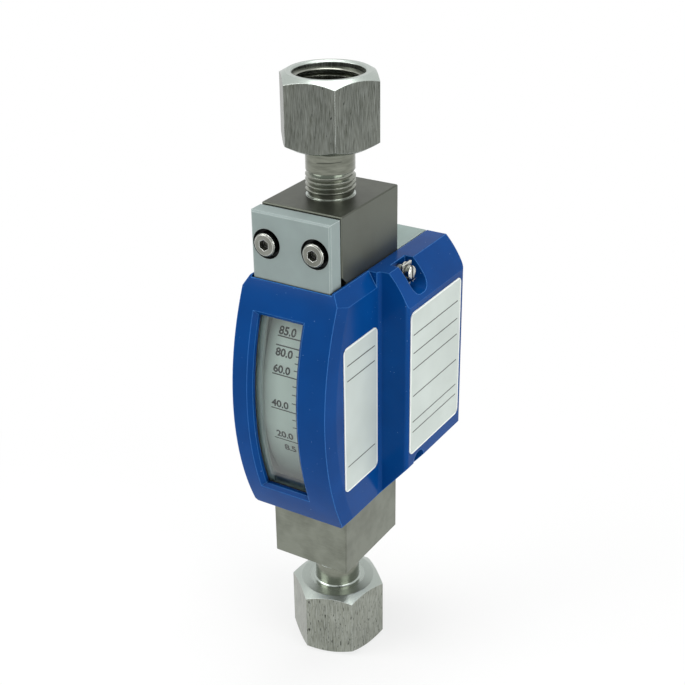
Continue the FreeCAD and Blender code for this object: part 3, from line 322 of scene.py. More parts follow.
@dataclass(frozen=True)
class BrushedHexagon:
    """Stainless hexagon bar, cold drawn and brushed: streaks along it, with drag pits.

    The level faces and the neck are turned, and smoother; the level faces are paler partly by
    a painted highlight, and a painted highlight runs along the sharp edges. The brush marks
    are drawn about three times as wide as real ones, to show.
    """

    name: str
    light: str
    dark: str
    pit_level: float                    # noise value that pits start from: less gives more
    streaks: float
    scored: bool = False
    pit: str = "#1d1e1a"
    neck: str = "#85887d"
    # Turned level faces: their own turned finish, made paler by a painted highlight.
    turned: str = "#aab2ac"
    # Pale brush streaks, and the painted highlight along the sharp edges.
    edge: str = "#dde3df"
    rough: Span = (0.24, 0.4)
    neck_r: float = 9.0
    neck_soft: float = 0.2
    neck_gloss: float = 0.14            # how much less rough the neck is
    brush_mm: float = 0.16
    brush_run: Point = (1.0, 1.0, 22.0)
    brush_range: Span = (0.3, 0.8)
    bump: Span = (0.012, 0.6)
    cloud_mm: float = 5.0
    cloud_run: Point = (1.0, 1.0, 2.5)
    cloud_range: Span = (0.35, 0.65)
    drag_mm: float = 0.3
    drag_run: Point = (1.0, 1.0, 14.0)
    drag_range: Span = (0.52, 0.68)
    drag_rough: float = 0.6             # share of its finer octaves
    pit_mm: float = 0.42
    pit_run: Point = (1.0, 1.0, 4.5)
    pit_detail: float = 1.0
    pit_rough: float = 0.5
    pit_step: float = 0.05              # noise in which a pit comes to its full dark
    pit_share: float = 0.85
    ring_mm: float = 0.5
    ring_run: Point = (8.0, 8.0, 1.0)
    ring_share: float = 0.5
    level: Span = (0.2, 0.4)            # slopes where the turned tone, partly painted highlight, starts and is full
    edge_mm: float = 0.3
    edge_share: float = 0.35

    def make(self) -> bpy.types.Material:
        """Build the material.

        Returns:
            The material, with its shader on the output.
        """
        g = Graph(bpy.data.materials.new(self.name))
        brush = g.grain(self.brush_mm, BROKEN, self.brush_run)
        cloud = g.grain(self.cloud_mm, BROKEN, self.cloud_run)
        pits = g.grain(self.pit_mm, self.pit_detail, self.pit_run, self.pit_rough)
        drag = g.grain(self.drag_mm, BROKEN, self.drag_run, self.drag_rough)
        pit_range = (self.pit_level, self.pit_level + self.pit_step)
        tone = g.layer(linear(self.light), self.dark, cloud, self.cloud_range)
        tone = g.layer(tone, self.edge, brush, self.brush_range, self.streaks)
        tone = g.layer(tone, self.pit, drag, self.drag_range, self.streaks)
        tone = g.layer(tone, self.pit, pits, pit_range, self.pit_share)
        neck_range = ((self.neck_r + self.neck_soft) * MM, self.neck_r * MM)
        on_neck = g.add("MapRange", ranged(g.from_axis(), neck_range))
        tone = g.add("Mix", {0: on_neck, 6: tone, 7: self.neck_tone(g)}, output=2,
                     data_type="RGBA")
        # Turned level faces, paler partly by a painted highlight.
        tone = g.layer(tone, self.turned, g.slope(), self.level)
        # Painted highlight along the sharp edges.
        tone = g.edge_light_and_wear(tone, self.edge, self.edge_mm, self.edge_share)
        rough = g.add("MapRange", ranged(brush, BROAD, self.rough))
        rough = g.add("Math", {0: on_neck, 1: -self.neck_gloss, 2: rough},
                      operation="MULTIPLY_ADD")
        return g.close({"Base Color": tone, "Metallic": 1.0, "Roughness": rough,
                        "Normal": g.relief(brush, self.bump, self.edge_mm)})

    def neck_tone(self, g: Graph) -> Socket:
        """Colour the turned neck: fine tool rings, with the score where there is one.

        Args:
            g: Graph of the material.

        Returns:
            The neck's colour.
        """
        rings = g.grain(self.ring_mm, SOFT, self.ring_run)
        tone = g.layer(linear(self.neck), self.dark, rings, MIDDLE, self.ring_share)
        return self.score(g, tone) if self.scored else tone

    def score(self, g: Graph, under: Socket) -> Socket:
        """Lay one fine slanted score across the front of the upper neck.

        Args:
            g: Graph of the material.
            under: Colour of the neck.

        Returns:
            The colour with the score.
        """
        height, rise, share = 170.7, 0.06, 0.8
        half_width: Span = (0.16, 0.06)
        front: Span = (-3.5, -4.0)
        left_end: Span = (-0.4, 0.2)
        x, y, z = g.axes()
        line = g.add("Math", {0: x, 1: rise, 2: height * MM}, operation="MULTIPLY_ADD")
        off_line = g.add("Math", {0: z, 1: line}, operation="SUBTRACT")
        off_line = g.add("Math", {0: off_line}, operation="ABSOLUTE")
        mask = None
        for value, (start, full) in ((off_line, half_width), (y, front), (x, left_end)):
            inside = g.add("MapRange", ranged(value, (start * MM, full * MM)))
            mask = inside if mask is None else g.add("Math", {0: mask, 1: inside},
                                                     operation="MULTIPLY")
        return g.layer(under, self.pit, mask, FULL, share)


@dataclass(frozen=True)
class BrightStainless:
    """Stainless, turned and left bright: a clear reflection, broken by fine tool marks."""

    name: str = "bright_stainless"
    light: str = "#9da097"
    dark: str = "#75786e"
    rough: Span = (0.14, 0.3)
    mark_mm: float = 0.12
    bump: Span = (0.004, 0.5)
    edge_mm: float = 0.12

    def make(self) -> bpy.types.Material:
        """Build the material.

        Returns:
            The material, with its shader on the output.
        """
        g = Graph(bpy.data.materials.new(self.name))
        marks = g.grain(self.mark_mm, SOFT)
        return g.close({"Base Color": g.layer(linear(self.light), self.dark, marks, MIDDLE),
                        "Metallic": 1.0,
                        "Roughness": g.add("MapRange", ranged(marks, BROAD, self.rough)),
                        "Normal": g.relief(marks, self.bump, self.edge_mm)})


@dataclass(frozen=True)
class PowderCoat:
    """Blue powder coat on die-cast aluminium: glossy, a faint orange peel, dust specks.

    The specks are drawn as large as the largest dust, to show. Painted shade darkens its
    corners and hollows, and a painted highlight runs along its sharp edges.
    """

    name: str = "blue_powder_coat"
    light: str = "#064386"
    dark: str = "#063c7a"
    # Colour of the painted shade in corners and hollows.
    recess: str = "#001c4c"
    speck: str = "#8fb0dc"
    # Colour of the painted highlight along the sharp edges.
    edge: str = "#4a8cd8"
    rough: Span = (0.17, 0.23)
    ior: float = 1.5
    specular: float = 0.06
    peel_mm: float = 0.9
    bump: Span = (0.012, 0.15)
    cloud_mm: float = 18.0
    speck_mm: float = 0.42
    speck_detail: float = 0.0
    speck_range: Span = (0.86, 0.885)
    speck_share: float = 0.65
    recess_mm: float = 2.0
    recess_share: float = 0.8
    edge_mm: float = 0.35
    edge_share: float = 0.75
    corner_mm: float = 0.5

    def make(self) -> bpy.types.Material:
        """Build the material.

        Returns:
            The material, with its shader on the output.
        """
        g = Graph(bpy.data.materials.new(self.name))
        peel = g.grain(self.peel_mm, SOFT)
        cloud = g.grain(self.cloud_mm, SOFT)
        specks = g.grain(self.speck_mm, self.speck_detail)
        tone = g.layer(linear(self.light), self.dark, cloud, MIDDLE)
        # Painted shade in corners and hollows.
        tone = g.painted_recess_shade(tone, self.recess, self.recess_mm, self.recess_share)
        tone = g.layer(tone, self.speck, specks, self.speck_range, self.speck_share)
        # Painted highlight along the sharp edges.
        tone = g.edge_light_and_wear(tone, self.edge, self.edge_mm, self.edge_share)
        return g.close({"Base Color": tone, "IOR": self.ior,
                        "Specular IOR Level": self.specular,
                        "Roughness": g.add("MapRange", ranged(peel, MIDDLE, self.rough)),
                        "Normal": g.relief(peel, self.bump, self.corner_mm)})


@dataclass(frozen=True)
class PlainCoat:
    """Even surface of one colour with fine grain: moulded, printed, cast or anodised."""

    name: str
    light: str
    dark: str
    roughness: float = 0.5
    metallic: float = 0.0
    grain_mm: float = 0.3
    depth_mm: float = 0.01
    edge_mm: float = 0.2
    # Colour along sharp edges, if any: a painted highlight, and on the plate rubbed wear too.
    edge: str = ""
    edge_share: float = 0.8
    # Colour of painted shade in corners and hollows, if any.
    recess: str = ""
    recess_mm: float = 2.5
    recess_share: float = 1.0
    bump_share: float = 0.6
    spread: float = 0.06                # how far the roughness goes to each side
    cloud_grains: float = 30.0          # grains in one cloud of the darker tone

    def make(self) -> bpy.types.Material:
        """Build the material.

        Returns:
            The material, with its shader on the output.
        """
        g = Graph(bpy.data.materials.new(self.name))
        grain = g.grain(self.grain_mm, BROKEN)
        cloud = g.grain(self.grain_mm * self.cloud_grains, SOFT)
        tone = g.layer(linear(self.light), self.dark, cloud, MIDDLE)
        # Painted highlight along the sharp edges, with rubbed wear on the plate.
        if self.edge:
            tone = g.edge_light_and_wear(tone, self.edge, self.edge_mm, self.edge_share)
        # Painted shade in corners and hollows.
        if self.recess:
            tone = g.painted_recess_shade(tone, self.recess, self.recess_mm, self.recess_share)
        rough = (self.roughness - self.spread, self.roughness + self.spread)
        return g.close({"Base Color": tone, "Metallic": self.metallic,
                        "Roughness": g.add("MapRange", ranged(grain, BROAD, rough)),
                        "Normal": g.relief(grain, (self.depth_mm, self.bump_share),
                                           self.edge_mm)})


@dataclass(frozen=True)
class ScaleSheet:
    """Lacquered aluminium scale: pale, with dust, and painted shade to its left edge and foot."""

    name: str = "scale_sheet"
    light: str = "#d0d7d4"
    # Colour of the painted shade, and of the dust clouds.
    dark: str = "#6d7a79"
    rough: Span = (0.44, 0.56)
    across: Span = (-3.5, -11.4)        # places along X where the painted shade starts and is darkest
    across_share: float = 0.75
    down: Span = (93.0, 73.0)           # heights where the painted shade starts and is darkest
    down_share: float = 0.95
    cloud_mm: float = 9.0
    cloud_share: float = 0.12
    grain_mm: float = 0.3
    bump: Span = (0.006, 0.6)

    def make(self) -> bpy.types.Material:
        """Build the material.

        Returns:
            The material, with its shader on the output.
        """
        g = Graph(bpy.data.materials.new(self.name))
        x, _, z = g.axes()
        # Painted shade: darker towards the left edge and towards the foot.
        fades = [g.add("MapRange", ranged(value, (pale * MM, dark * MM), (0.0, share)))
                 for value, (pale, dark), share in ((x, self.across, self.across_share),
                                                    (z, self.down, self.down_share))]
        fade = g.add("Math", {0: fades[0], 1: fades[1]}, operation="MAXIMUM")
        cloud = g.add("MapRange", ranged(g.grain(self.cloud_mm, SOFT), MIDDLE,
                                         (0.0, self.cloud_share)))
        shade = g.add("Math", {0: fade, 1: cloud}, operation="ADD")
        grain = g.grain(self.grain_mm, BROKEN)
        return g.close({"Base Color": g.layer(linear(self.light), self.dark, shade, FULL),
                        "Roughness": g.add("MapRange", ranged(grain, BROAD, self.rough)),
                        "Normal": g.relief(grain, self.bump)})


@dataclass(frozen=True)
class WindowGlass:
    """Thin toughened glass: clear, faintly green, with a clean reflection."""

    name: str = "window_glass"
    tint: str = "#eef7f3"
    ior: float = 1.5
    specular: float = 0.2
    smear_mm: float = 9.0
    rough: Span = (0.0, 0.04)

    def make(self) -> bpy.types.Material:
        """Build the material.

        Returns:
            The material, with its shader on the output.
        """
        g = Graph(bpy.data.materials.new(self.name))
        smear = g.grain(self.smear_mm, BROKEN)
        return g.close({"Base Color": linear(self.tint), "IOR": self.ior,
                        "Specular IOR Level": self.specular, "Transmission Weight": 1.0,
                        "Roughness": g.add("MapRange", ranged(smear, MIDDLE, self.rough))})


@dataclass(frozen=True)
class LabelSheet:
    """Pale anodised label plate: satin, a white rim, with plain printed rules."""

    name: str
    across: Span                        # its front and back edge along Y
    upright: Span                       # its lower and upper edge
    rule: Span                          # where its rules start and end along Y
    rule_heights: Tuple[float, ...]
    rule_width: float
    base: str = "#c6cfca"
    shade: str = "#bdc6c1"
    rim: str = "#eef2ee"
    ink: str = "#14181a"
    rough: Span = (0.42, 0.52)
    rim_mm: float = 0.525
    rim_soft: float = 0.075
    ink_soft: float = 0.04
    cloud_mm: float = 16.0
    grain_mm: float = 0.2
    bump: Span = (0.004, 0.5)
    edge_mm: float = 0.1

    def within(self, g: Graph, places: Sequence[Tuple[Socket, Span]], soft: float) -> Socket:
        """Mask of a rectangle.

        Args:
            g: Graph of the material.
            places: Coordinate in metres, with its start and end in millimetres.
            soft: How far the rectangle's edge fades to each side, in millimetres.

        Returns:
            One inside the rectangle and zero outside.
        """
        mask = None
        for value, (start, stop) in places:
            off = g.add("Math", {0: value, 1: (start + stop) / 2 * MM}, operation="SUBTRACT")
            off = g.add("Math", {0: off}, operation="ABSOLUTE")
            half = (stop - start) / 2
            inside = g.add("MapRange", ranged(off, ((half + soft) * MM, (half - soft) * MM)))
            mask = inside if mask is None else g.add("Math", {0: mask, 1: inside},
                                                     operation="MINIMUM")
        return mask

    def make(self) -> bpy.types.Material:
        """Build the material.

        Returns:
            The material, with its shader on the output.
        """
        g = Graph(bpy.data.materials.new(self.name))
        _, y, z = g.axes()
        field = g.layer(linear(self.base), self.shade, g.grain(self.cloud_mm, SOFT), MIDDLE)
        inner = [(y, (self.across[0] + self.rim_mm, self.across[1] - self.rim_mm)),
                 (z, (self.upright[0] + self.rim_mm, self.upright[1] - self.rim_mm))]
        tone = g.add("Mix", {0: self.within(g, inner, self.rim_soft), 6: linear(self.rim),
                             7: field}, output=2, data_type="RGBA")
        for height in self.rule_heights:
            line = (height - self.rule_width / 2, height + self.rule_width / 2)
            mask = self.within(g, [(z, line), (y, self.rule)], self.ink_soft)
            tone = g.layer(tone, self.ink, mask, FULL)
        grain = g.grain(self.grain_mm, SOFT)
        return g.close({"Base Color": tone,
                        "Roughness": g.add("MapRange", ranged(grain, BROAD, self.rough)),
                        "Normal": g.relief(grain, self.bump, self.edge_mm)})


class Finish(Enum):
    """Every finish on the instrument."""

    BLOCK = GroundStainless()
    # One hexagon bar twice: the upper adaptor's tones are darker as painted shade, the lower
    # one's lighter as painted light.
    UPPER_ADAPTOR = BrushedHexagon("upper_hexagon_shaded", "#5c5f56", "#4a4d44", pit_level=0.74,
                                   streaks=0.3, scored=True)
    LOWER_ADAPTOR = BrushedHexagon("lower_hexagon_lit", "#8a8d81", "#75786c", pit_level=0.655,
                                   streaks=0.42)
    BRIGHT = BrightStainless()
    HOOD = PowderCoat()
    GLASS = WindowGlass()
    SCALE = ScaleSheet()
    # Aluminium, blasted and anodised: an even grey, paler along the edges, partly rubbed and
    # partly a painted highlight, with painted shade in its recesses.
    PLATE = PlainCoat("anodised_plate", "#8a9896", "#84918f", grain_mm=0.25, depth_mm=0.008,
                      edge_mm=0.3, edge="#c2cdcb", recess="#161a19", recess_mm=3.0)
    # Stainless screws, cold headed: bright rims from a painted highlight round sockets darkened
    # by painted shade.
    CAP_SCREW = PlainCoat("cap_screw_steel", "#8f918a", "#74766e", roughness=0.24,
                          metallic=1.0, grain_mm=0.2, depth_mm=0.006, edge_mm=0.35,
                          edge="#eef0ec", recess="#060606", recess_mm=1.6)
    # Nitrile rubber, moulded: black and dull.
    SEAL = PlainCoat("black_seal", "#141414", "#1c1c1c", roughness=0.7, grain_mm=0.4,
                     depth_mm=0.02)
    # Cast aluminium, lacquered grey: a slightly coarse grain, with a painted highlight along its
    # edges.
    BASE = PlainCoat("cast_base", "#8fa09e", "#84958f", roughness=0.55, grain_mm=0.5,
                     depth_mm=0.02, edge_mm=0.4, edge="#b5c2c0")
    # Moulded plastic: an even satin.
    CARRIER = PlainCoat("moulded_carrier", "#a3afad", "#96a2a0", grain_mm=0.35,
                        depth_mm=0.012, edge_mm=0.3)
    # Printing inks on the scale, and the white of a painted highlight: flat, with no grain to
    # see.
    BORDER = PlainCoat("scale_border", "#707d7b", "#65716f", depth_mm=0.006, edge_mm=0.1)
    PRINT = PlainCoat("scale_print", "#050606", "#0a0b0b", roughness=0.6, depth_mm=0.004,
                      edge_mm=0.05)
    # Painted highlight: flat white for a thin strip along the window's edge.
    WHITE = PlainCoat("window_glint_white", "#e9eeec", "#dfe6e3", depth_mm=0.004, edge_mm=0.05)
    # Nickel-plated steel, stamped: bright, with a painted highlight along its edges, and nearly
    # black in its folds by painted shade.
    SHINE = PlainCoat("plated_terminal", "#d6d8d2", "#a9aba4", roughness=0.2, metallic=1.0,
                      grain_mm=0.25, edge="#f2f3f0", recess="#14171c", recess_mm=1.2)
    # Sintered magnet: dark grey, partly metallic.
    MAGNET = PlainCoat("sintered_magnet", "#2b2b2d", "#222224", roughness=0.55,
                       metallic=0.6, depth_mm=0.02, edge_mm=0.1)
    # Brass, turned: warm yellow with fine marks.
    BRASS = PlainCoat("turned_brass", "#b08d4c", "#a07f42", roughness=0.3, metallic=1.0,
                      grain_mm=0.15, depth_mm=0.005, edge_mm=0.1)
    # Aluminium pointer, painted black.
    POINTER = PlainCoat("black_pointer", "#191a1b", "#202122", metallic=0.1, depth_mm=0.006,
                        edge_mm=0.1)
    # Rolled stainless sheet: a plain grey sheen.
    SHEET = PlainCoat("plain_sheet", "#a7aaab", "#9b9fa0", roughness=0.38, metallic=1.0,
                      depth_mm=0.008)
    LARGE_LABEL = LabelSheet("large_label_sheet", across=(-0.4, 32.0), upright=(78.3, 126.9),
                             rule=(1.2, 30.0), rule_width=0.36,
                             rule_heights=(119.3, 113.2, 107.7, 98.6, 89.6, 86.0))
    SMALL_LABEL = LabelSheet("small_label_sheet", across=(-22.2, -3.0), upright=(73.3, 121.9),
                             rule=(-20.5, -4.6), rule_width=0.34,
                             rule_heights=(116.0, 111.0, 82.0))

    def material(self) -> bpy.types.Material:
        """The Blender material, made once."""
        return bpy.data.materials.get(self.value.name) or self.value.make()


# ---------------------------------------------------------------- piece helpers

def dress(finish: Finish, *nodes: str) -> None:
    """Give frame nodes a finish.

    Args:
        finish: The finish.
        nodes: Names of the frame's nodes.
    """
    for name in nodes:
        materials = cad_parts[name].data.materials
        materials.clear()
        materials.append(finish.material())


def add_piece(name: str, mesh: bpy.types.Mesh, finish: Finish, body: str,
              smooth: bool = False) -> None:
    """Make a piece from a mesh, put it on a body and log it.

    Args:
        name: Name of the piece.
        mesh: Its mesh, in metres in the frame's axes.
        finish: Its finish.
        body: Body that carries it.
        smooth: Whether its faces shade smoothly up to SMOOTH_ANGLE.
    """
    mesh.materials.clear()
    mesh.materials.append(finish.material())
    made = bpy.data.objects.new(name, mesh)
    bpy.context.scene.collection.objects.link(made)
    if smooth:
        mesh.shade_smooth()
        mesh.set_sharp_from_angle(angle=SMOOTH_ANGLE)
    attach(made, body)
    LOG.info("piece %s: %d faces on %s", name, len(mesh.polygons), body)


def mesh_from(name: str, points: Sequence[Sequence[float]],
              faces: Sequence[Sequence[int]]) -> bpy.types.Mesh:
    """Mesh from points in millimetres and faces, with outward normals.

    Args:
        name: Name of the mesh.
        points: Points in millimetres.
        faces: Corner numbers of each face.

    Returns:
        The mesh, in metres.
    """
    mesh = bpy.data.meshes.new(name)
    mesh.from_pydata([tuple(c * MM for c in p) for p in points], [], [tuple(f) for f in faces])
    body = bmesh.new()
    body.from_mesh(mesh)
    bmesh.ops.recalc_face_normals(body, faces=body.faces)
    body.to_mesh(mesh)
    body.free()
    return mesh


# ---------------------------------------------------------------- threads

@dataclass
class Thread:
    """Helical ridge on a round wall.

    A positive depth grows outwards from the wall, a negative one inwards.
    """

    name: str
    wall_r: float
    depth: float
    pitch: float
    low: float
    high: float
    segments: int = 72                  # steps in one turn
    root_share: float = 0.46            # half the ridge's foot, as a share of the pitch
    crest_share: float = 0.25           # the crest's width, as a share of the foot's
    sunk: float = 0.25                  # how far the foot goes into the wall
    fade_turns: float = 0.3             # turns in which the ridge comes to its full height
    least: float = 0.02                 # share of the height at its two ends

    def build(self) -> bpy.types.Mesh:
        """Sweep a trapezoid round the helix, fading in at the start and out at the end.

        Returns:
            The mesh, in metres.
        """
        steps = int((self.high - self.low - self.pitch) / self.pitch * self.segments)
        half_root = self.pitch * self.root_share
        half_crest = half_root * self.crest_share
        foot_r = self.wall_r - math.copysign(self.sunk, self.depth)
        fade_steps = self.segments * self.fade_turns
        points: List[Point] = []
        for step in range(steps + 1):
            angle = 2 * math.pi * step / self.segments
            centre = self.low + self.pitch / 2 + self.pitch * step / self.segments
            fade = min(1.0, step / fade_steps, (steps - step) / fade_steps)
            tip_r = self.wall_r + self.depth * max(fade, self.least)
            outline = ((foot_r, -half_root), (self.wall_r, -half_root), (tip_r, -half_crest),
                       (tip_r, half_crest), (self.wall_r, half_root), (foot_r, half_root))
            points += [(radius * math.cos(angle), radius * math.sin(angle), centre + dz)
                       for radius, dz in outline]
        count = len(outline)
        faces: List[Sequence[int]] = []
        for step in range(steps):
            a, b = step * count, (step + 1) * count
            for corner in range(count):
                after = (corner + 1) % count
                faces.append((a + corner, a + after, b + after, b + corner))
        faces.append(tuple(range(count)))
        faces.append(tuple(steps * count + corner for corner in reversed(range(count))))
        return mesh_from(self.name, points, faces)


# ---------------------------------------------------------------- sub-assemblies

@dataclass
class FlowPath:
    """Measuring block, adaptors with their threads, front plate and hidden flow parts."""

    neck_root_r: float = 6.7
    neck_depth: float = 0.72
    neck_pitch: float = 1.5
    upper_neck_thread: float = 7.7
    lower_neck_thread: float = 6.2
    block_low: float = 38.2
    block_high: float = 159.6
    pipe_r: float = 10.44
    pipe_depth: float = 1.1
    pipe_pitch: float = 1.814
    pipe_length: float = 14.4
    pipe_inset: float = 0.5
    pipe_segments: int = 96
    total: float = 196.0

    def build(self) -> None:
        """Dress the frame's nodes and add the four threads."""
        dress(Finish.BLOCK, "measuring_block")
        dress(Finish.LOWER_ADAPTOR, "lower_adaptor")
        dress(Finish.UPPER_ADAPTOR, "upper_adaptor")
        dress(Finish.SEAL, "lower_seal", "upper_seal", "plate_gasket")
        dress(Finish.PLATE, "front_plate")
        dress(Finish.CAP_SCREW, "plate_screw_left", "plate_screw_right")
        dress(Finish.BRIGHT, "lower_stop", "upper_stop", "measuring_cone", "float_body",
              "base_screw_lower", "base_screw_upper")
        dress(Finish.MAGNET, "float_magnet")
        for thread in self.threads():
            add_piece(thread.name, thread.build(), Finish.BRIGHT, "housing",
                      smooth=True)

    def threads(self) -> List[Thread]:
        """Size the two outer neck threads and the two inner pipe threads.

        Returns:
            The four threads.
        """
        low, high = self.block_low, self.block_high
        neck = (self.neck_root_r, self.neck_depth, self.neck_pitch)
        pipe = (self.pipe_r, -self.pipe_depth, self.pipe_pitch)
        bottom = self.pipe_inset
        mouth = self.total - self.pipe_inset - self.pipe_length
        return [
            Thread("lower_neck_thread", *neck, low - self.lower_neck_thread, low),
            Thread("upper_neck_thread", *neck, high, high + self.upper_neck_thread),
            Thread("inlet_pipe_thread", *pipe, bottom, bottom + self.pipe_length,
                   segments=self.pipe_segments),
            Thread("outlet_pipe_thread", *pipe, mouth, mouth + self.pipe_length,
                   segments=self.pipe_segments)]


class Indicator:
    """Hood with its window, labels, earth terminal, base and movement."""

    def build(self) -> None:
        """Dress the frame's nodes."""
        dress(Finish.HOOD, "hood")
        dress(Finish.GLASS, "window_pane")
        dress(Finish.SEAL, "window_gasket")
        dress(Finish.CARRIER, "scale_carrier")
        dress(Finish.SCALE, "scale_plate")
        dress(Finish.BASE, "indicator_base")
        dress(Finish.LARGE_LABEL, "large_label")
        dress(Finish.SMALL_LABEL, "small_label")
        dress(Finish.SHINE, "earth_boss", "earth_washer", "earth_clamp", "earth_screw")
        dress(Finish.BRIGHT, "hood_screw_lower_left", "hood_screw_upper_left",
              "hood_screw_lower_right", "hood_screw_upper_right", "bracket_screw_lower",
              "bracket_screw_upper", "spindle")
        dress(Finish.SHEET, "pivot_bracket")
        dress(Finish.BRASS, "inner_bush", "outer_bush", "pointer_hub", "counterweight")
        dress(Finish.POINTER, "pointer_arm")
        dress(Finish.MAGNET, "follower_magnet")


@dataclass(frozen=True)
class BowedSheet:
    """Upright surface bowed forwards about a level axis, which thin print lies on."""

    pivot_y: float
    radius: float
    pivot_z: float = 99.4
    lift: float = 0.03                  # gap between the surface and its print
    sheet: float = 0.06                 # thickness of the print
    step: float = 1.5                   # longest straight run of a bar

    def wrapped(self, x: float, z: float, out: float) -> Point:
        """Put a point of the flat print on the bowed surface.

        Args:
            x: Place across the surface.
            z: Height.
            out: Distance in front of the surface.

        Returns:
            The point.
        """
        rise = z - self.pivot_z
        return (x, self.pivot_y - math.sqrt((self.radius + out) ** 2 - rise ** 2), z)

    def bar(self, x_from: float, x_to: float, z_from: float,
            z_to: float) -> Tuple[List[Point], List[Sequence[int]]]:
        """Thin printed bar, in steps along its height.

        Args:
            x_from: Its left side.
            x_to: Its right side.
            z_from: Its foot.
            z_to: Its top.

        Returns:
            Its points and faces.
        """
        steps = max(1, int((z_to - z_from) / self.step))
        back, front = self.lift, self.lift + self.sheet
        points: List[Point] = []
        for step in range(steps + 1):
            z = z_from + (z_to - z_from) * step / steps
            points += [self.wrapped(x, z, out) for x, out in (
                (x_from, back), (x_to, back), (x_to, front), (x_from, front))]
        faces: List[Sequence[int]] = [(0, 1, 2, 3)]
        for step in range(steps):
            a, b = 4 * step, 4 * step + 4
            faces += [(a + i, a + (i + 1) % 4, b + (i + 1) % 4, b + i) for i in range(4)]
        faces.append(tuple(4 * steps + i for i in (3, 2, 1, 0)))
        return points, faces

    def bars(self, name: str,
             places: Sequence[Tuple[float, float, float, float]]) -> bpy.types.Mesh:
        """Join several bars into one mesh.

        Args:
            name: Name of the mesh.
            places: Left side, right side, foot and top of each bar.

        Returns:
            The mesh, in metres.
        """
        points: List[Point] = []
        faces: List[Sequence[int]] = []
        for place in places:
            more, corners = self.bar(*place)
            faces += [tuple(c + len(points) for c in face) for face in corners]
            points += more
        return mesh_from(name, points, faces)


@dataclass
class ScalePrint:
    """Printed lines, numbers and border of the bowed scale, and the window's painted highlight.
    """

    scale: BowedSheet = BowedSheet(pivot_y=25.5, radius=51.3)
    window: BowedSheet = BowedSheet(pivot_y=56.6, radius=85.55)
    right: float = 8.0                  # where lines and ticks end, behind the hood
    line_left: float = -5.7
    line_width: float = 0.32
    line_heights: Tuple[float, ...] = (120.9, 118.4, 110.1, 99.2, 88.3)
    tick_left: float = 1.7
    tick_width: float = 0.26
    tick_heights: Tuple[float, ...] = (116.4, 114.4, 112.3, 107.6, 105.0, 102.2, 96.7, 94.0)
    numbers: Tuple[Tuple[str, float, float], ...] = (
        ("85.0", -5.6, 121.4), ("80.0", -5.4, 115.5), ("60.0", -5.5, 110.7),
        ("40.0", -5.5, 99.9), ("20.0", -4.7, 89.2), ("8.5", -2.7, 84.3))
    number_height: float = 2.25
    number_stretch: float = 1.12
    number_bold: float = 0.09           # how much each stroke is widened to each side
    number_curve: int = 4               # steps in each curve of a number's outline
    font_share: float = 1.38            # the font's size, as a share of a number's height
    border: Tuple[Tuple[float, float, float, float], ...] = (
        (-11.4, -8.7, 69.2, 129.6), (-8.7, 11.0, 69.2, 71.2), (-8.7, 11.0, 128.2, 129.6))
    # Painted highlight: a thin pale strip along the window's right edge.
    edge_glint: Tuple[float, float, float, float] = (5.2, 5.48, 90.0, 127.6)

    def number(self, text: str, x: float, z: float) -> bpy.types.Mesh:
        """Number with its lower left corner at a place, wrapped on the scale.

        Args:
            text: The number.
            x: Place of its left side.
            z: Height of its foot.

        Returns:
            Its mesh, in metres.
        """
        curve = bpy.data.curves.new("number_" + text.replace(".", "_"), "FONT")
        curve.body = text
        curve.size = self.number_height * MM * self.font_share
        curve.extrude = self.scale.sheet / 2 * MM
        curve.offset = self.number_bold * MM
        curve.resolution_u = self.number_curve
        carrier = bpy.data.objects.new("number_source", curve)
        bpy.context.scene.collection.objects.link(carrier)
        bpy.context.view_layer.update()
        mesh = bpy.data.meshes.new_from_object(carrier)
        bpy.data.objects.remove(carrier)
        middle = self.scale.lift + self.scale.sheet / 2
        for vertex in mesh.vertices:
            flat = vertex.co / MM
            place = self.scale.wrapped(x + flat.x * self.number_stretch, z + flat.y,
                                       middle + flat.z)
            vertex.co = Vector(place) * MM
        return mesh

    def build(self) -> None:
        """Add lines, numbers, border and the window's painted highlight."""
        bars = [(left, self.right, height - width / 2, height + width / 2)
                for left, width, heights in ((self.line_left, self.line_width, self.line_heights),
                                             (self.tick_left, self.tick_width, self.tick_heights))
                for height in heights]
        add_piece("scale_lines", self.scale.bars("scale_lines", bars), Finish.PRINT,
                  "housing")
        for text, x, z in self.numbers:
            add_piece("scale_number_" + text.replace(".", "_"), self.number(text, x, z),
                      Finish.PRINT, "housing")
        add_piece("scale_border", self.scale.bars("scale_border", self.border), Finish.BORDER,
                  "housing")
        add_piece("window_edge_glint", self.window.bars("window_edge_glint", [self.edge_glint]),
                  Finish.WHITE, "housing")


@dataclass(frozen=True)
class Softbox:
    """Square soft lamp that looks at the instrument, with its power in watts."""

    name: str
    place: Point
    power: float
    size: float = 500.0

    def build(self, target: Point) -> None:
        """Add the lamp.

        Args:
            target: The point that it is turned to.
        """
        data = bpy.data.lights.new(self.name, "AREA")
        data.shape = "RECTANGLE"
        data.size = self.size * MM
        data.size_y = self.size * MM
        data.energy = self.power
        made = bpy.data.objects.new(self.name, data)
        made.location = Vector(self.place) * MM
        aim = (Vector(target) - Vector(self.place)).normalized()
        made.rotation_mode = "QUATERNION"
        made.rotation_quaternion = aim.to_track_quat("-Z", "Y")
        bpy.context.scene.collection.objects.link(made)


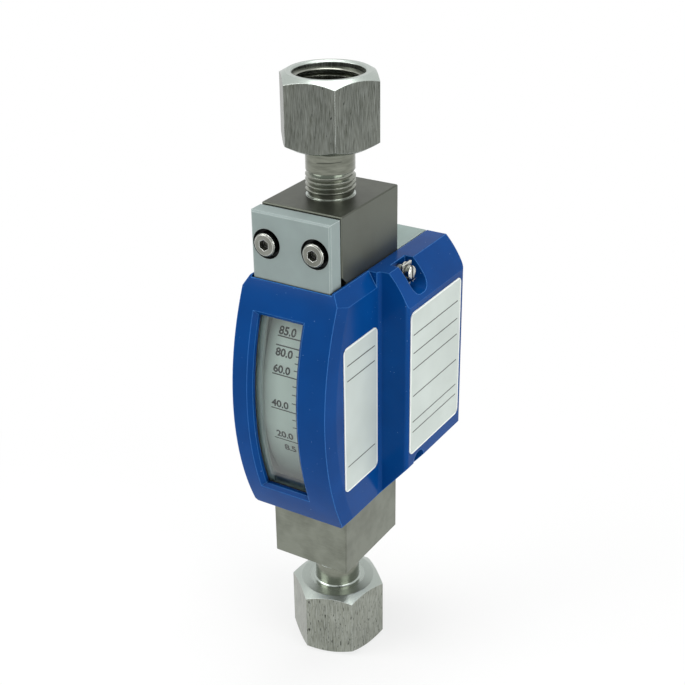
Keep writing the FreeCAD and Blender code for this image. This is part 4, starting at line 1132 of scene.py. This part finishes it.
@dataclass
class Studio:
    """Floor, soft lights, white surroundings and the camera, with angles in degrees."""

    lamps: Tuple[Softbox, ...] = (
        Softbox("key_softbox", (-500.0, -500.0, 620.0), 3.1),
        Softbox("fill_softbox", (700.0, -250.0, 330.0), 2.9),
        Softbox("top_softbox", (0.0, 60.0, 800.0), 3.2))
    lamp_target: Point = (0.0, 0.0, 100.0)
    room: str = "#f2f4f4"
    room_strength: float = 0.42
    floor_half: float = 4000.0
    floor_low: str = "#f6f6f4"
    floor_high: str = "#fafaf9"
    floor_cloud: float = 60.0
    floor_rough: float = 0.9
    floor_specular: float = 0.1
    floor_white: Span = (0.7, 1.0)      # share of white near the instrument, and far away
    floor_fade: Span = (30.0, 200.0)    # distances from the axis that they stand for
    azimuth: float = 32.27
    elevation: float = 26.36
    roll: float = -1.02
    distance: float = 396.65
    target_z: float = 110.84
    lens: float = 67.41
    sensor: float = 36.0
    shift: Span = (0.0131, -0.0006)
    clip: Span = (10.0, 50000.0)

    def seen(self, g: Graph) -> Socket:
        """Tell the rays that show a place itself: from the camera, a reflection or glass.

        Args:
            g: Graph of the floor or the world.

        Returns:
            One for such rays and zero for the others.
        """
        path = g.add("LightPath").node.outputs
        rays = g.add("Math", {0: path["Is Camera Ray"], 1: path["Is Transmission Ray"]},
                     operation="MAXIMUM")
        return g.add("Math", {0: rays, 1: path["Is Glossy Ray"]}, operation="MAXIMUM")

    def floor(self) -> None:
        """Pale floor that shows white and keeps the shadow."""
        size = self.floor_half * MM
        mesh = bpy.data.meshes.new("floor")
        mesh.from_pydata([(-size, -size, 0), (size, -size, 0), (size, size, 0), (-size, size, 0)],
                         [], [(0, 1, 2, 3)])
        made = bpy.data.objects.new("floor", mesh)
        bpy.context.scene.collection.objects.link(made)
        g = Graph(bpy.data.materials.new("pale_floor"))
        cloud = g.grain(self.floor_cloud, SOFT)
        tone = g.layer(linear(self.floor_low), self.floor_high, cloud, MIDDLE)
        matt = g.add("BsdfPrincipled", {"Base Color": tone, "Roughness": self.floor_rough,
                                        "Specular IOR Level": self.floor_specular})
        fade = (self.floor_fade[0] * MM, self.floor_fade[1] * MM)
        share = g.add("MapRange", ranged(g.from_axis(), fade, self.floor_white))
        share = g.add("Math", {0: self.seen(g), 1: share}, operation="MULTIPLY")
        white = g.add("Emission", {"Color": WHITE, "Strength": 1.0})
        g.add("OutputMaterial", {"Surface": g.add("MixShader", {0: share, 1: matt, 2: white})})
        mesh.materials.append(g.owner)

    def surroundings(self) -> None:
        """Soft grey room light, and white where the world is seen directly."""
        world = bpy.data.worlds.new("studio_room")
        bpy.context.scene.world = world
        g = Graph(world)
        room = g.add("Background", {"Color": linear(self.room), "Strength": self.room_strength})
        white = g.add("Background", {"Color": WHITE, "Strength": 1.0})
        g.add("OutputWorld", {"Surface": g.add("MixShader", {0: self.seen(g), 1: room,
                                                             2: white})})

    def camera(self) -> None:
        """Camera a little above the instrument, turned to its right side."""
        data = bpy.data.cameras.new("view_camera")
        data.sensor_fit = "HORIZONTAL"
        data.sensor_width = self.sensor
        data.lens = self.lens
        data.shift_x, data.shift_y = self.shift
        data.clip_start, data.clip_end = (reach * MM for reach in self.clip)
        az, el, roll = (math.radians(a) for a in (self.azimuth, self.elevation, self.roll))
        back = Vector((math.sin(az) * math.cos(el), -math.cos(az) * math.cos(el), math.sin(el)))
        right = Vector((0, 0, 1)).cross(back).normalized()
        up = back.cross(right)
        side = right * math.cos(roll) + up * math.sin(roll)
        top = up * math.cos(roll) - right * math.sin(roll)
        place = Vector((0, 0, self.target_z)) * MM + back * self.distance * MM
        made = bpy.data.objects.new("view_camera", data)
        made.matrix_world = Matrix((
            (side.x, top.x, back.x, place.x), (side.y, top.y, back.y, place.y),
            (side.z, top.z, back.z, place.z), (0, 0, 0, 1)))
        bpy.context.scene.collection.objects.link(made)
        bpy.context.scene.camera = made

    def build(self) -> None:
        """Set up the whole studio."""
        bpy.context.scene.view_settings.view_transform = "Standard"
        self.floor()
        for lamp in self.lamps:
            lamp.build(self.lamp_target)
        self.surroundings()
        self.camera()


def main() -> None:
    """Dress the instrument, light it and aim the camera."""
    logging.basicConfig(level=logging.INFO, format="%(name)s: %(message)s")
    for part in (FlowPath(), Indicator(), ScalePrint(), Studio()):
        part.build()
        LOG.info("built %s", type(part).__name__)
    bpy.context.view_layer.update()


if __name__ == "__main__":
    main()
